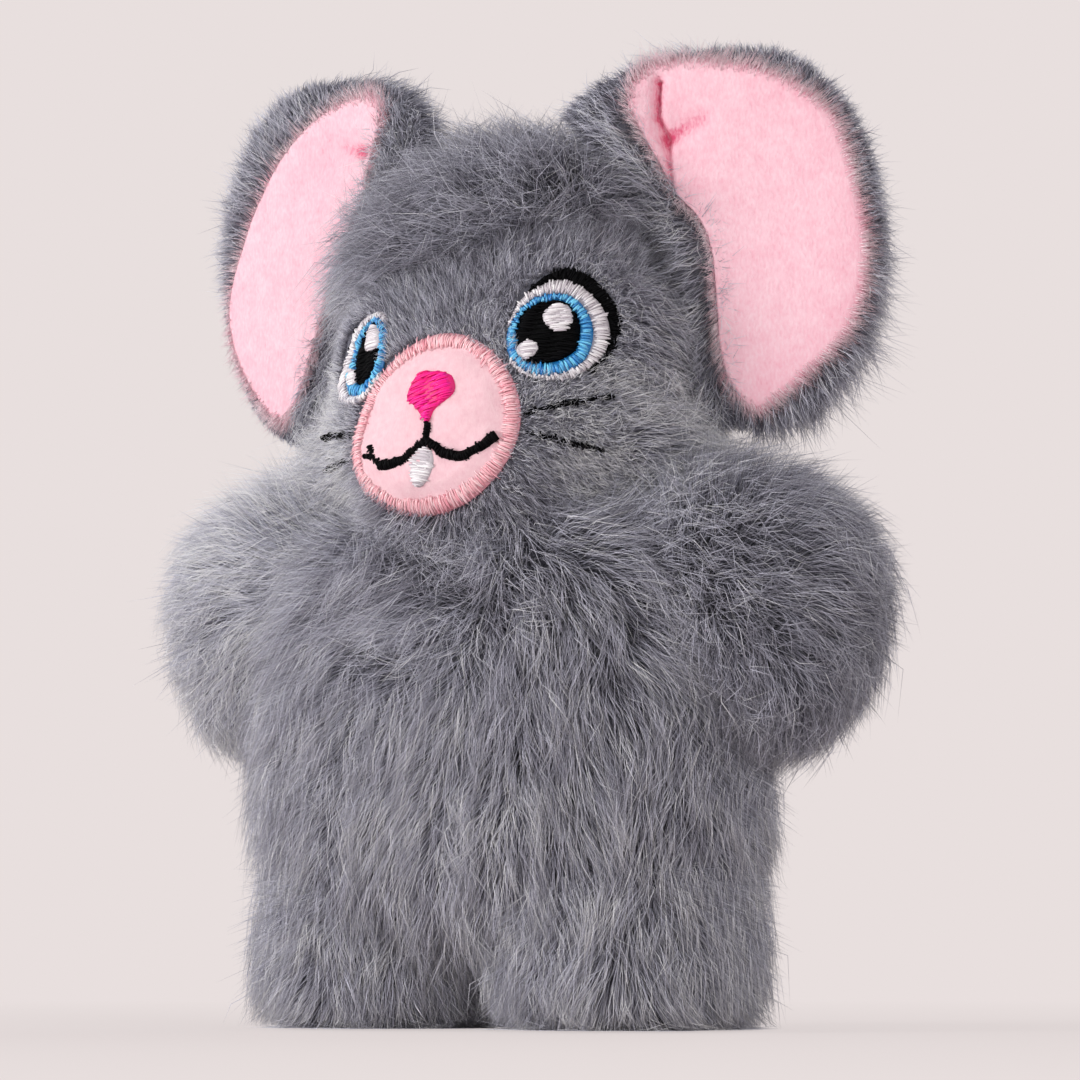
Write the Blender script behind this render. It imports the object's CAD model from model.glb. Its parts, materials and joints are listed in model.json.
"""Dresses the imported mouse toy: plush pile, velvet ear linings, a felt muzzle and satin-stitched embroidery.

Sizes are written in millimetres, as a toy maker gives them, and become metres where a mesh is made.
"""

from __future__ import annotations

import json
import logging
import math
from collections.abc import Callable
from dataclasses import dataclass, field, fields, replace
from enum import Enum

import bpy
import numpy as np
from mathutils import Matrix, Vector
from mathutils.kdtree import KDTree
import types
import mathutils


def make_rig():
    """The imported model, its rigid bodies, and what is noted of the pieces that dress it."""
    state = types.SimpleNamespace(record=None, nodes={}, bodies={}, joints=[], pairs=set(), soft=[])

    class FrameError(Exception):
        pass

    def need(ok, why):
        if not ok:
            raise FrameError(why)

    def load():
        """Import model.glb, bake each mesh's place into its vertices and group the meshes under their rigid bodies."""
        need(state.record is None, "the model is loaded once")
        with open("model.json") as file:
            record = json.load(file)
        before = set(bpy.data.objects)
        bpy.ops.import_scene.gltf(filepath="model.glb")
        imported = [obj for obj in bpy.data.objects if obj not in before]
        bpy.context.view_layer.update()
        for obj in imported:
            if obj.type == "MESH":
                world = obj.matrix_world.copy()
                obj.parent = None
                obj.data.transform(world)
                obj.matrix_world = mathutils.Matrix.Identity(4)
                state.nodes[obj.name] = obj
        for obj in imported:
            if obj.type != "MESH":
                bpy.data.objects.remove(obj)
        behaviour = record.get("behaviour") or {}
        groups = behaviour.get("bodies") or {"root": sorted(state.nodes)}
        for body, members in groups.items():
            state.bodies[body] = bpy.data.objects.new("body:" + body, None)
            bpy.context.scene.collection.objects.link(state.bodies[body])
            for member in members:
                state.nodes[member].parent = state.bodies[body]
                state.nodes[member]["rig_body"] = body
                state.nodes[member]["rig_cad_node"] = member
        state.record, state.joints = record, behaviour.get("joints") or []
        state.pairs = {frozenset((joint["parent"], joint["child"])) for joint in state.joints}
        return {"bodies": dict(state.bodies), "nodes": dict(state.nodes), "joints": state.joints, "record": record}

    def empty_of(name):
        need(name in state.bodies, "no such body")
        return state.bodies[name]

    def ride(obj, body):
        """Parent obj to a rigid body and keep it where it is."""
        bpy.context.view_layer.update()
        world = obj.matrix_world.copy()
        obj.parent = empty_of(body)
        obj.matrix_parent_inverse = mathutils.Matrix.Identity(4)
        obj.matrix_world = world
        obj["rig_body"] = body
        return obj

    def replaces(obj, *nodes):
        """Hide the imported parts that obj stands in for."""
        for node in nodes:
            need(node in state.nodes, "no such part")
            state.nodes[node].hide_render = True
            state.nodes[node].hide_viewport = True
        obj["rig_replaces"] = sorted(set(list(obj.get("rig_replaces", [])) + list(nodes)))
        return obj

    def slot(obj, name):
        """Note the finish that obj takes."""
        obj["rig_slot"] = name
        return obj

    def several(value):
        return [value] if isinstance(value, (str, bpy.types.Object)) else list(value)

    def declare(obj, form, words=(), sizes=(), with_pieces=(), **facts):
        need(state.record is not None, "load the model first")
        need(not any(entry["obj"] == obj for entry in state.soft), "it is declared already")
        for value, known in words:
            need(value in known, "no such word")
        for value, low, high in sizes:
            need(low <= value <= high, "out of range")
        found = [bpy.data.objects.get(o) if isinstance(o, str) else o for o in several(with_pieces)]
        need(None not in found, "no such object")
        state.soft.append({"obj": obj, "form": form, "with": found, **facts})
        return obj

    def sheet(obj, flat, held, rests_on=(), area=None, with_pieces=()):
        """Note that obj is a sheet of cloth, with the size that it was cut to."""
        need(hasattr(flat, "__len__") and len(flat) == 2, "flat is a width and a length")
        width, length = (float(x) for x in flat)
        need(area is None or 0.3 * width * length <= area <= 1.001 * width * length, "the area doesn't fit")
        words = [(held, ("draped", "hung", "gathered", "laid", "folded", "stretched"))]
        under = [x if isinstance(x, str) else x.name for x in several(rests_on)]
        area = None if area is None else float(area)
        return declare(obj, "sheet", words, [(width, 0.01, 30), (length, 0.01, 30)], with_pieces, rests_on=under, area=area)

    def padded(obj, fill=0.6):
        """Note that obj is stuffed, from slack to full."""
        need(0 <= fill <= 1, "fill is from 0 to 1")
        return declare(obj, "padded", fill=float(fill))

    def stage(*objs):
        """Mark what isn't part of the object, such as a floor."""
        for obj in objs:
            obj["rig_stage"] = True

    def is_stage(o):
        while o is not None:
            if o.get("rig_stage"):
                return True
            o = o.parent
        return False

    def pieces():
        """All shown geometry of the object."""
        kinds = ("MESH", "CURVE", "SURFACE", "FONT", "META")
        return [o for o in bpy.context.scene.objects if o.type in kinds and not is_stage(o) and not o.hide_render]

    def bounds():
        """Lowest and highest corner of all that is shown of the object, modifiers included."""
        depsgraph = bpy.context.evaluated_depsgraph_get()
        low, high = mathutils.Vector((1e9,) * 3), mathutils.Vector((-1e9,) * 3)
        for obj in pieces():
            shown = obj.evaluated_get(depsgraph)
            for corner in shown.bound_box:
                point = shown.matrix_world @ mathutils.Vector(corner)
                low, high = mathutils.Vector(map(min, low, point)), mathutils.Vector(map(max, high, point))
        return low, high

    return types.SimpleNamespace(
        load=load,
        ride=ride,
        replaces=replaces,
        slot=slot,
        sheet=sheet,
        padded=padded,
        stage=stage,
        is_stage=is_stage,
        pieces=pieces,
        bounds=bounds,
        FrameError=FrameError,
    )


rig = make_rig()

LOG = logging.getLogger("mouse_toy")
MM = 0.001
BAKE_MAP = "OFBake"
TOY = "toy_body"
MERGING, SLOPE_STEP = 2.5, 0.05
LEG_MIDDLE = 16.4
FIBRE_SIDES, STITCH_SIDES, STITCH_RINGS = 3, 5, 6
TONE_RANGE = (0.03, 0.97)
CHART_GAP = 0.01

Points = np.ndarray
Knots = list[tuple[float, float]]
Surface = Callable[[Points, Points, Points], Points]
Colour = tuple[float, float, float]


class Side(Enum):
    """One side of the toy; its own left is towards +X."""

    LEFT = 1
    RIGHT = -1

    @property
    def label(self) -> str:
        """The side's name, as it stands in the names of the pieces."""
        return self.name.lower()


class Layer(Enum):
    """The kinds of fibre in long-pile plush; the fuzz is what is left where it is sheared."""

    UNDERCOAT = "undercoat"
    GUARD = "guard"
    FUZZ = "fuzz"


def srgb(red: int, green: int, blue: int) -> Colour:
    """Turns a screen colour into the linear one that shaders use.

    Args:
        red: Red, from 0 to 255.
        green: Green, from 0 to 255.
        blue: Blue, from 0 to 255.

    Returns:
        The linear colour.
    """

    def linear(value: int) -> float:
        """Returns one channel's linear share."""
        share = value / 255
        return share / 12.92 if share <= 0.04045 else ((share + 0.055) / 1.055) ** 2.4

    return linear(red), linear(green), linear(blue)


def smoothstep(low: float | Points, high: float | Points, value: Points) -> Points:
    """Rises smoothly from 0 at low to 1 at high.

    Args:
        low: Where the rise starts.
        high: Where it ends.
        value: The values to look up.

    Returns:
        A share from 0 to 1 for each value.
    """
    share = np.clip((value - low) / (high - low), 0, 1)
    return share * share * (3 - 2 * share)


def unit(vectors: Points) -> Points:
    """Returns the vectors at length 1."""
    return vectors / np.maximum(np.linalg.norm(vectors, axis=-1, keepdims=True), 1e-9)


def tangent_to(vectors: Points, normals: Points) -> Points:
    """Returns the vectors laid flat on the surfaces with these normals, at length 1."""
    return unit(vectors - normals * np.sum(vectors * normals, axis=-1, keepdims=True))


def vectors(*parts: float | Points) -> Points:
    """Returns vectors with these parts, any of which may be one number for all."""
    return np.stack(np.broadcast_arrays(*parts), -1)


def powered(values: Points, power: float | Points) -> Points:
    """Squares off a sine or cosine with its sign kept, as the stuffed forms do."""
    return np.sign(values) * np.abs(values) ** (2 / power)


@dataclass(frozen=True)
class Place:
    """Where a part stands in the toy: its turn and its origin, in millimetres."""

    turn: np.ndarray = field(default_factory=lambda: np.eye(3))
    origin: np.ndarray = field(default_factory=lambda: np.zeros(3))

    def to_toy(self, points: Points) -> Points:
        """Returns the part's own points in the toy's frame."""
        return points @ self.turn.T + self.origin

    def to_part(self, points: Points) -> Points:
        """Returns the toy's points in the part's own frame."""
        return (points - self.origin) @ self.turn


def turned(axis: str, degrees: float) -> np.ndarray:
    """Returns the matrix of a turn about one axis."""
    return np.array(Matrix.Rotation(math.radians(degrees), 3, axis))


@dataclass(frozen=True)
class StuffedForm:
    """A stuffed form: pinched at its base and crown, fullest between them."""

    width: float
    depth: float
    height: float
    fullest: float
    plan_power: float
    base_power: float
    crown_power: float
    base: float = 0.0
    place: Place = field(default_factory=Place)

    def grown_by(self, margin: float) -> StuffedForm:
        """Returns the form with its skin moved out by a margin, or in by a negative one."""
        return replace(
            self,
            width=self.width + 2 * margin,
            depth=self.depth + 2 * margin,
            height=self.height + 2 * margin,
            fullest=self.fullest + margin,
            base=self.base - margin,
        )

    def distance(self, points: Points) -> Points:
        """Measures how far points of the toy lie outside the skin, along lines from the form's middle.

        Args:
            points: Points in the toy's frame.

        Returns:
            Millimetres outside the skin, negative inside it.
        """
        own = self.place.to_part(points)
        rise = own[:, 2] - self.base - self.fullest
        reach, power = self._end(rise > 0)
        across = np.abs(own[:, 0] / (self.width / 2)) ** self.plan_power
        along = np.abs(own[:, 1] / (self.depth / 2)) ** self.plan_power
        plan = (across + along) ** (1 / self.plan_power)
        share = (plan**power + np.abs(rise / reach) ** power) ** (1 / power)
        middle = np.sqrt(own[:, 0] ** 2 + own[:, 1] ** 2 + rise**2)
        return middle * (1 - 1 / np.maximum(share, 1e-4))

    def _end(self, above: Points) -> tuple[Points, Points]:
        """Returns the reach and the power of the crown where above is true, and of the base elsewhere."""
        reach = np.where(above, self.height - self.fullest, self.fullest)
        return reach, np.where(above, self.crown_power, self.base_power)

    def share_at(self, height: Points) -> Points:
        """Returns the share of its full width that the form has at each height."""
        level = self.base + self.fullest
        reach, power = self._end(height > level)
        along = np.minimum(np.abs(height - level) / reach, 1)
        return (1 - along**power) ** (1 / power)

    def front_at(self, across: Points, height: Points) -> Points:
        """Returns the front face's place along the form's own Y."""
        share = self.share_at(height)
        half = np.maximum(share * self.width / 2, 1e-6)
        spread = np.minimum(np.abs(across) / half, 1)
        return -share * self.depth / 2 * (1 - spread**self.plan_power) ** (1 / self.plan_power)

    def shaped(self, sphere: Points) -> Points:
        """Lays a unit sphere's points on the form.

        Args:
            sphere: Points of a sphere of radius 1.

        Returns:
            Points of the form's skin in the toy's frame.
        """
        turn = np.arctan2(sphere[:, 1], sphere[:, 0])
        rise = np.arcsin(np.clip(sphere[:, 2], -1, 1))
        reach, power = self._end(rise > 0)
        share = powered(np.cos(rise), power)
        across = share * self.width / 2 * powered(np.cos(turn), self.plan_power)
        along = share * self.depth / 2 * powered(np.sin(turn), self.plan_power)
        height = self.base + self.fullest + reach * powered(np.sin(rise), power)
        return self.place.to_toy(np.stack([across, along, height], 1))


TORSO = StuffedForm(66, 40, 60, 20, 2.5, 3, 2.5, place=Place(origin=np.array([0.0, 0.0, 11.0])))
HEAD = StuffedForm(48, 37, 55, 15, 2.2, 2.6, 2.7, place=Place(turned("X", -7), np.array([0.0, -2.5, 57.0])))


def arm_form(side: Side) -> StuffedForm:
    """Returns an arm, whose own Z runs from the shoulder to the mitten's end."""
    turn = turned("Z", side.value * 7) @ turned("Y", side.value * 102)
    return StuffedForm(33, 25, 37, 22, 2.3, 2.2, 2.5, place=Place(turn, np.array([side.value * 12.0, 0.0, 55.5])))


def leg_form(side: Side) -> StuffedForm:
    """Returns a leg, which stands on a flat sole."""
    place = Place(origin=np.array([side.value * LEG_MIDDLE, 0.0, 0.0]))
    return StuffedForm(30, 34, 29, 12, 2.5, 5, 2.6, -0.5, place=place)


FORMS = {
    "torso": TORSO,
    "head": HEAD,
    "arm_left": arm_form(Side.LEFT),
    "arm_right": arm_form(Side.RIGHT),
    "leg_left": leg_form(Side.LEFT),
    "leg_right": leg_form(Side.RIGHT),
}


def body_distance(points: Points) -> Points:
    """Measures how far points lie outside the whole stuffed body, smoothed where its parts meet.

    Args:
        points: Points in the toy's frame.

    Returns:
        Millimetres outside the body, negative inside it.
    """
    shares = np.stack([form.distance(points) for form in FORMS.values()])
    nearest = shares.min(0)
    return nearest - MERGING * np.log(np.exp(-(shares - nearest) / MERGING).sum(0))


def body_normals(points: Points) -> Points:
    """Returns the directions that lead straight out of the stuffed body."""
    here = body_distance(points)
    return unit(vectors(*(body_distance(points + SLOPE_STEP * axis) - here for axis in np.eye(3))))


class Drift:
    """A smooth random vector field, which turns the pile a little as it goes."""

    count = 9

    def __init__(self, scale: float, seed: int) -> None:
        """Draws the field's waves.

        Args:
            scale: About how far apart its eddies are, in millimetres.
            seed: Seed of the draw.
        """
        random = np.random.default_rng(seed)
        self.waves = random.normal(size=(self.count, 3)) * (2 * math.pi / scale) * 0.6
        self.phases = random.uniform(0, 2 * math.pi, self.count)
        self.pushes = random.normal(size=(self.count, 3)) * math.sqrt(2 / self.count)

    def at(self, points: Points) -> Points:
        """Returns the field's vectors at the points."""
        return np.sin(points @ self.waves.T + self.phases) @ self.pushes


@dataclass
class Signal:
    """A shader node's output, which can be summed and multiplied as a number."""

    graph: Graph
    socket: bpy.types.NodeSocket | None

    def _with(self, operation: str, first: Signal | float, second: Signal | float) -> Signal:
        """Adds the Math node of an operation on two values."""
        return self.graph.add("ShaderNodeMath", {"operation": operation}, {0: first, 1: second})

    def __add__(self, other: Signal | float) -> Signal:
        """Returns the sum."""
        return self._with("ADD", self, other)

    def __mul__(self, other: Signal | float) -> Signal:
        """Returns the product."""
        return self._with("MULTIPLY", self, other)

    def __sub__(self, other: Signal | float) -> Signal:
        """Returns the difference."""
        return self._with("SUBTRACT", self, other)

    def __rsub__(self, other: float) -> Signal:
        """Returns the difference from a number."""
        return self._with("SUBTRACT", other, self)

    __radd__ = __add__
    __rmul__ = __mul__


class Graph:
    """The node tree of a material or of the world."""

    def __init__(self, owner: bpy.types.Material | bpy.types.World) -> None:
        """Empties the owner's node tree."""
        owner.use_nodes = True
        self.owner = owner
        self.tree = owner.node_tree
        self.tree.nodes.clear()

    @classmethod
    def of_material(cls, name: str) -> Graph:
        """Returns the empty graph of a new material."""
        return cls(bpy.data.materials.new(name))

    def add(self, kind: str, settings: dict[str, object] | None = None,
            inputs: dict[str | int, object] | None = None, output: str | int = 0) -> Signal:
        """Adds one node.

        Args:
            kind: The node's type.
            settings: Its settings; "stops" are a ramp's places and colours.
            inputs: Its sockets' values, or the signals that are linked to them.
            output: Which of its outputs is returned.

        Returns:
            The output as a signal.
        """
        node = self.tree.nodes.new(kind)
        for key, value in (settings or {}).items():
            if key == "stops":
                self._set_stops(node.color_ramp, value)
            else:
                setattr(node, key, value)
        for key, value in (inputs or {}).items():
            if isinstance(value, Signal):
                self.tree.links.new(value.socket, node.inputs[key])
            else:
                node.inputs[key].default_value = value
        return Signal(self, node.outputs[output] if len(node.outputs) else None)

    @staticmethod
    def _set_stops(ramp: bpy.types.ColorRamp, stops: list[tuple[float, Colour]]) -> None:
        """Sets a ramp's places and colours."""
        while len(ramp.elements) < len(stops):
            ramp.elements.new(0.5)
        for element, (place, colour) in zip(ramp.elements, stops):
            element.position = place
            element.color = (*colour, 1)

    def ramp(self, factor: Signal, stops: list[tuple[float, Colour]]) -> Signal:
        """Returns a colour that follows a value along a ramp."""
        return self.add("ShaderNodeValToRGB", {"stops": stops}, {"Fac": factor}, "Color")

    def mixed(self, factor: Signal | float, first: object, second: object, blend: str = "MIX") -> Signal:
        """Returns two colours mixed by a factor."""
        pair = [value if isinstance(value, Signal) else (*value, 1) for value in (first, second)]
        settings = {"data_type": "RGBA", "blend_type": blend}
        return self.add("ShaderNodeMix", settings, {0: factor, 6: pair[0], 7: pair[1]}, 2)

    def noise(self, scale: float, detail: float = 2.0, stretch: tuple[float, float, float] = (1, 1, 1)) -> Signal:
        """Returns noise on Object coordinates.

        Args:
            scale: Cells to the millimetre.
            detail: How many finer layers it has.
            stretch: Scale along each axis.

        Returns:
            The noise, from 0 to 1.
        """
        place = self.add("ShaderNodeTexCoord", output="Object")
        scaled = self.add("ShaderNodeMapping", {}, {"Vector": place, "Scale": stretch})
        return self.add("ShaderNodeTexNoise", {}, {"Vector": scaled, "Scale": scale / MM, "Detail": detail}, "Fac")

    def charted(self) -> tuple[Signal, Signal]:
        """Returns the two values that a mesh keeps at each point as its place on the bake map."""
        place = self.add("ShaderNodeUVMap", {"uv_map": BAKE_MAP}, {}, "UV")
        return tuple(self.add("ShaderNodeSeparateXYZ", {}, {"Vector": place}, axis) for axis in "XY")

    def bumped(self, height: Signal, strength: float, depth: float) -> Signal:
        """Returns a normal that follows a height, with its depth in millimetres."""
        inputs = {"Height": height, "Strength": strength, "Distance": depth * MM}
        return self.add("ShaderNodeBump", {}, inputs, "Normal")

    def finished(self, inputs: dict[str | int, object]) -> bpy.types.Material:
        """Ends the material in a Principled shader with these inputs."""
        shader = self.add("ShaderNodeBsdfPrincipled", {}, inputs)
        self.add("ShaderNodeOutputMaterial", {}, {"Surface": shader})
        return self.owner


@dataclass(frozen=True)
class PileFinish:
    """Plush fibres: each has its own tone, and is darker at its root than at its tip."""

    name: str
    dark: Colour
    middle: Colour
    light: Colour
    root_shade: Colour
    roughness: float = 0.55
    sheen: float = 0.0
    specular: float = 0.35

    def material(self) -> bpy.types.Material:
        """Builds the fibres' material, which reads each fibre's tone and length from its map."""
        graph = Graph.of_material(self.name)
        tone, along = graph.charted()
        own = graph.ramp(tone, [(0.0, self.dark), (0.5, self.middle), (1.0, self.light)])
        rooted = graph.ramp(along, [(0.0, self.root_shade), (0.55, (0.86,) * 3), (1.0, (1.0,) * 3)])
        colour = graph.mixed(1.0, own, rooted, "MULTIPLY")
        return graph.finished({"Base Color": colour, "Roughness": self.roughness, "Specular IOR Level": self.specular,
                               "Sheen Weight": self.sheen, "Sheen Roughness": 0.5})


@dataclass(frozen=True)
class ClothFinish:
    """The woven backing that the pile stands in."""

    name: str
    dark: Colour
    light: Colour
    roughness: float = 0.95

    def material(self) -> bpy.types.Material:
        """Builds the backing's material: mottled colour over a fine knit."""
        graph = Graph.of_material(self.name)
        mottle = graph.noise(0.35, 4.0)
        knit = graph.noise(2.2, 3.0, (1.0, 1.0, 0.35))
        colour = graph.ramp(mottle * 0.5 + knit * 0.5, [(0.25, self.dark), (0.75, self.light)])
        normal = graph.bumped(knit, 0.8, 0.4)
        return graph.finished({"Base Color": colour, "Roughness": self.roughness, "Normal": normal})


@dataclass(frozen=True)
class VelvetFinish:
    """The ground of the ears' velvet, deeper in its tucks."""

    name: str
    tucked: Colour
    middle: Colour
    light: Colour

    def material(self) -> bpy.types.Material:
        """Builds the velvet's material, which reads how deep each place is tucked from its map."""
        graph = Graph.of_material(self.name)
        tone = graph.charted()[0]
        mottle, fuzz = graph.noise(0.5, 4.0), graph.noise(3.0, 3.0, (1.0, 1.0, 0.5))
        varied = tone + mottle * 0.6 + fuzz * 0.9 - 0.75
        colour = graph.ramp(varied, [(0.0, self.tucked), (0.5, self.middle), (1.0, self.light)])
        normal = graph.bumped(fuzz, 0.7, 0.16)
        return graph.finished({"Base Color": colour, "Roughness": 0.95, "Sheen Weight": 0.15, "Normal": normal})


@dataclass(frozen=True)
class ThreadFinish:
    """Glossy embroidery thread, a little lighter in some stitches than in others."""

    name: str
    dark: Colour
    light: Colour
    roughness: float = 0.36
    specular: float = 0.6

    def material(self) -> bpy.types.Material:
        """Builds the thread's material, whose tone changes from stitch to stitch and along each."""
        graph = Graph.of_material(self.name)
        tone, along = graph.charted()
        own = graph.mixed(tone, self.dark, self.light)
        ends = graph.ramp(along, [(0.0, (0.66,) * 3), (0.22, (1.0,) * 3), (0.78, (1.0,) * 3), (1.0, (0.66,) * 3)])
        colour = graph.mixed(1.0, own, ends, "MULTIPLY")
        return graph.finished({"Base Color": colour, "Roughness": self.roughness, "Specular IOR Level": self.specular,
                               "Normal": graph.bumped(graph.noise(9.0, 1.0), 0.35, 0.05)})


@dataclass(frozen=True)
class FeltFinish:
    """Pressed felt: matted fibres with a faint mottle."""

    name: str
    dark: Colour
    light: Colour

    def material(self) -> bpy.types.Material:
        """Builds the felt's material."""
        graph = Graph.of_material(self.name)
        mat = graph.noise(1.1, 5.0)
        fibres = graph.noise(5.0, 4.0, (1.0, 1.0, 0.4))
        colour = graph.ramp(mat * 0.6 + fibres * 0.4, [(0.3, self.dark), (0.7, self.light)])
        normal = graph.bumped(mat * 0.5 + fibres * 0.5, 0.5, 0.25)
        return graph.finished({"Base Color": colour, "Roughness": 0.92, "Sheen Weight": 0.25, "Normal": normal})


@dataclass(frozen=True)
class PlainWeaveFinish:
    """Plain cotton, woven over and under."""

    name: str
    dark: Colour
    light: Colour
    pitch: float = 0.5

    def material(self) -> bpy.types.Material:
        """Builds the cotton's material from two crossed sets of threads."""
        graph = Graph.of_material(self.name)
        place = graph.add("ShaderNodeTexCoord", output="Object")
        waves = {"Vector": place, "Scale": 0.314 / (self.pitch * MM), "Distortion": 0.4}
        warp = graph.add("ShaderNodeTexWave", {"bands_direction": "X"}, waves, "Fac")
        weft = graph.add("ShaderNodeTexWave", {"bands_direction": "Z"}, waves, "Fac")
        weave = warp * 0.5 + weft * 0.5
        colour = graph.ramp(weave, [(0.2, self.dark), (0.8, self.light)])
        normal = graph.bumped(weave, 0.6, 0.15)
        return graph.finished({"Base Color": colour, "Roughness": 0.9, "Normal": normal})


GREY_GUARD = PileFinish(
    "grey_guard_pile", srgb(146, 143, 157), srgb(214, 213, 229), srgb(255, 254, 255), (0.6, 0.58, 0.63), 0.5, 0.3
)
GREY_UNDERCOAT = PileFinish(
    "grey_undercoat_pile", srgb(96, 94, 107), srgb(158, 158, 173), srgb(206, 206, 220), (0.6, 0.58, 0.62), 0.6, 0.2
)
PINK_VELVET = PileFinish(
    "pink_velvet_pile", srgb(240, 120, 154), srgb(255, 214, 225), srgb(255, 236, 241), (1.0, 1.0, 1.0), 1.0, 0.0, 0.05
)
GREY_CLOTH = ClothFinish("grey_backing", srgb(84, 83, 93), srgb(120, 120, 132))
PINK_CLOTH = VelvetFinish("pink_velvet", srgb(214, 78, 116), srgb(238, 178, 193), srgb(245, 205, 215))
PINK_FELT = FeltFinish("pink_felt", srgb(229, 181, 191), srgb(241, 204, 210))
PINK_THREAD = ThreadFinish("pink_thread", srgb(247, 164, 178), srgb(255, 222, 225), 0.3, 0.9)
MAGENTA_THREAD = ThreadFinish("magenta_thread", srgb(246, 0, 120), srgb(255, 26, 164), 0.42, 0.5)
BLACK_THREAD = ThreadFinish("black_thread", srgb(1, 1, 2), srgb(8, 7, 10), 0.6, 0.08)
WHITE_THREAD = ThreadFinish("white_thread", srgb(204, 194, 202), srgb(255, 252, 253), 0.36, 0.6)
BLUE_THREAD = ThreadFinish("blue_thread", srgb(0, 122, 202), srgb(128, 222, 255), 0.34, 0.7)
FIBRE_FILL = FeltFinish("polyester_fill", srgb(224, 222, 216), srgb(250, 249, 246))
POUCH_COTTON = PlainWeaveFinish("pouch_cotton", srgb(186, 176, 140), srgb(222, 214, 184))


Finish = PileFinish | ClothFinish | VelvetFinish | ThreadFinish | FeltFinish | PlainWeaveFinish


@dataclass
class Shape:
    """Points and faces of a mesh in the making, with a place on the bake map for each point."""

    points: Points
    quads: Points = field(default_factory=lambda: np.zeros((0, 4), int))
    triangles: Points = field(default_factory=lambda: np.zeros((0, 3), int))
    chart: Points | None = None

    def mesh(self, name: str) -> bpy.types.Mesh:
        """Builds the Blender mesh, in metres.

        Args:
            name: The mesh's name.

        Returns:
            The mesh, shaded smooth.
        """
        mesh = bpy.data.meshes.new(name)
        corners = np.concatenate([self.quads.ravel(), self.triangles.ravel()]).astype(np.int32)
        sizes = np.repeat([4, 3], [len(self.quads), len(self.triangles)])
        mesh.vertices.add(len(self.points))
        mesh.vertices.foreach_set("co", (self.points * MM).astype(np.float32).ravel())
        mesh.loops.add(len(corners))
        mesh.loops.foreach_set("vertex_index", corners)
        mesh.polygons.add(len(sizes))
        mesh.polygons.foreach_set("loop_start", np.concatenate([[0], np.cumsum(sizes)[:-1]]).astype(np.int32))
        if self.chart is not None:
            layer = mesh.uv_layers.new(name=BAKE_MAP)
            layer.data.foreach_set("uv", self.chart[corners].astype(np.float32).ravel())
        mesh.update(calc_edges=True)
        mesh.validate()
        mesh.polygons.foreach_set("use_smooth", np.ones(len(mesh.polygons), bool))
        return mesh

    def split(self) -> Points:
        """Returns the shape's faces as triangles."""
        return np.concatenate([self.quads[:, [0, 1, 2]], self.quads[:, [0, 2, 3]], self.triangles])

    @staticmethod
    def joined(shapes: list[Shape]) -> Shape:
        """Returns one shape of several."""
        starts = np.cumsum([0] + [len(shape.points) for shape in shapes])
        charts = [shape.chart if shape.chart is not None else np.zeros((len(shape.points), 2)) for shape in shapes]
        return Shape(
            np.concatenate([shape.points for shape in shapes]),
            np.concatenate([shape.quads + start for shape, start in zip(shapes, starts)]),
            np.concatenate([shape.triangles + start for shape, start in zip(shapes, starts)]),
            np.concatenate(charts),
        )


class Workroom:
    """Puts finished pieces into the scene, on the bodies that they ride on."""

    def __init__(self) -> None:
        """Opens the room with no material built."""
        self._built: dict[str, bpy.types.Material] = {}

    def dress(self, piece: bpy.types.Object, finish: Finish) -> None:
        """Gives a piece a finish, whose material is built the first time."""
        if finish.name not in self._built:
            self._built[finish.name] = finish.material()
        piece.data.materials.clear()
        piece.data.materials.append(self._built[finish.name])

    def add(self, name: str, shape: Shape, finish: Finish, slot: str, body: str = TOY,
            stands_for: tuple[str, ...] = ()) -> bpy.types.Object:
        """Adds one piece.

        Args:
            name: The piece's name.
            shape: Its shape, in the toy's frame.
            finish: The finish that it is dressed in.
            slot: The record's material slot.
            body: The body that it rides on.
            stands_for: The CAD nodes that it replaces.

        Returns:
            The piece's object.
        """
        piece = bpy.data.objects.new(name, shape.mesh(name))
        bpy.context.scene.collection.objects.link(piece)
        self.dress(piece, finish)
        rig.ride(piece, body)
        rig.slot(piece, slot)
        if stands_for:
            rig.replaces(piece, *stands_for)
        LOG.info("%s: %d faces", piece.name, len(piece.data.polygons))
        return piece


@dataclass(frozen=True)
class Pile:
    """How one layer of fibres grows.

    Lengths and radii are in millimetres, angles in degrees, and density is in fibres to the square
    millimetre.
    """

    density: float
    length: float
    length_spread: float
    lift: float
    lay: float
    lift_spread: float
    radius: float
    segments: int
    wander: float = 0.18
    clump_share: float = 0.06
    clump_pull: float = 0.5
    tone: float = 0.5
    tone_spread: float = 0.2
    lock_spread: float = 0.12


@dataclass
class Roots:
    """Where fibres start: points, outward directions, and each one's length, tone, lift and wander."""

    points: Points
    normals: Points
    reach: Points
    tone: Points
    lift: Points
    wander: Points

    def kept(self, which: Points) -> Roots:
        """Returns the roots that a mask or a list of places picks."""
        return Roots(*(getattr(self, part.name)[which] for part in fields(self)))


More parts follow.
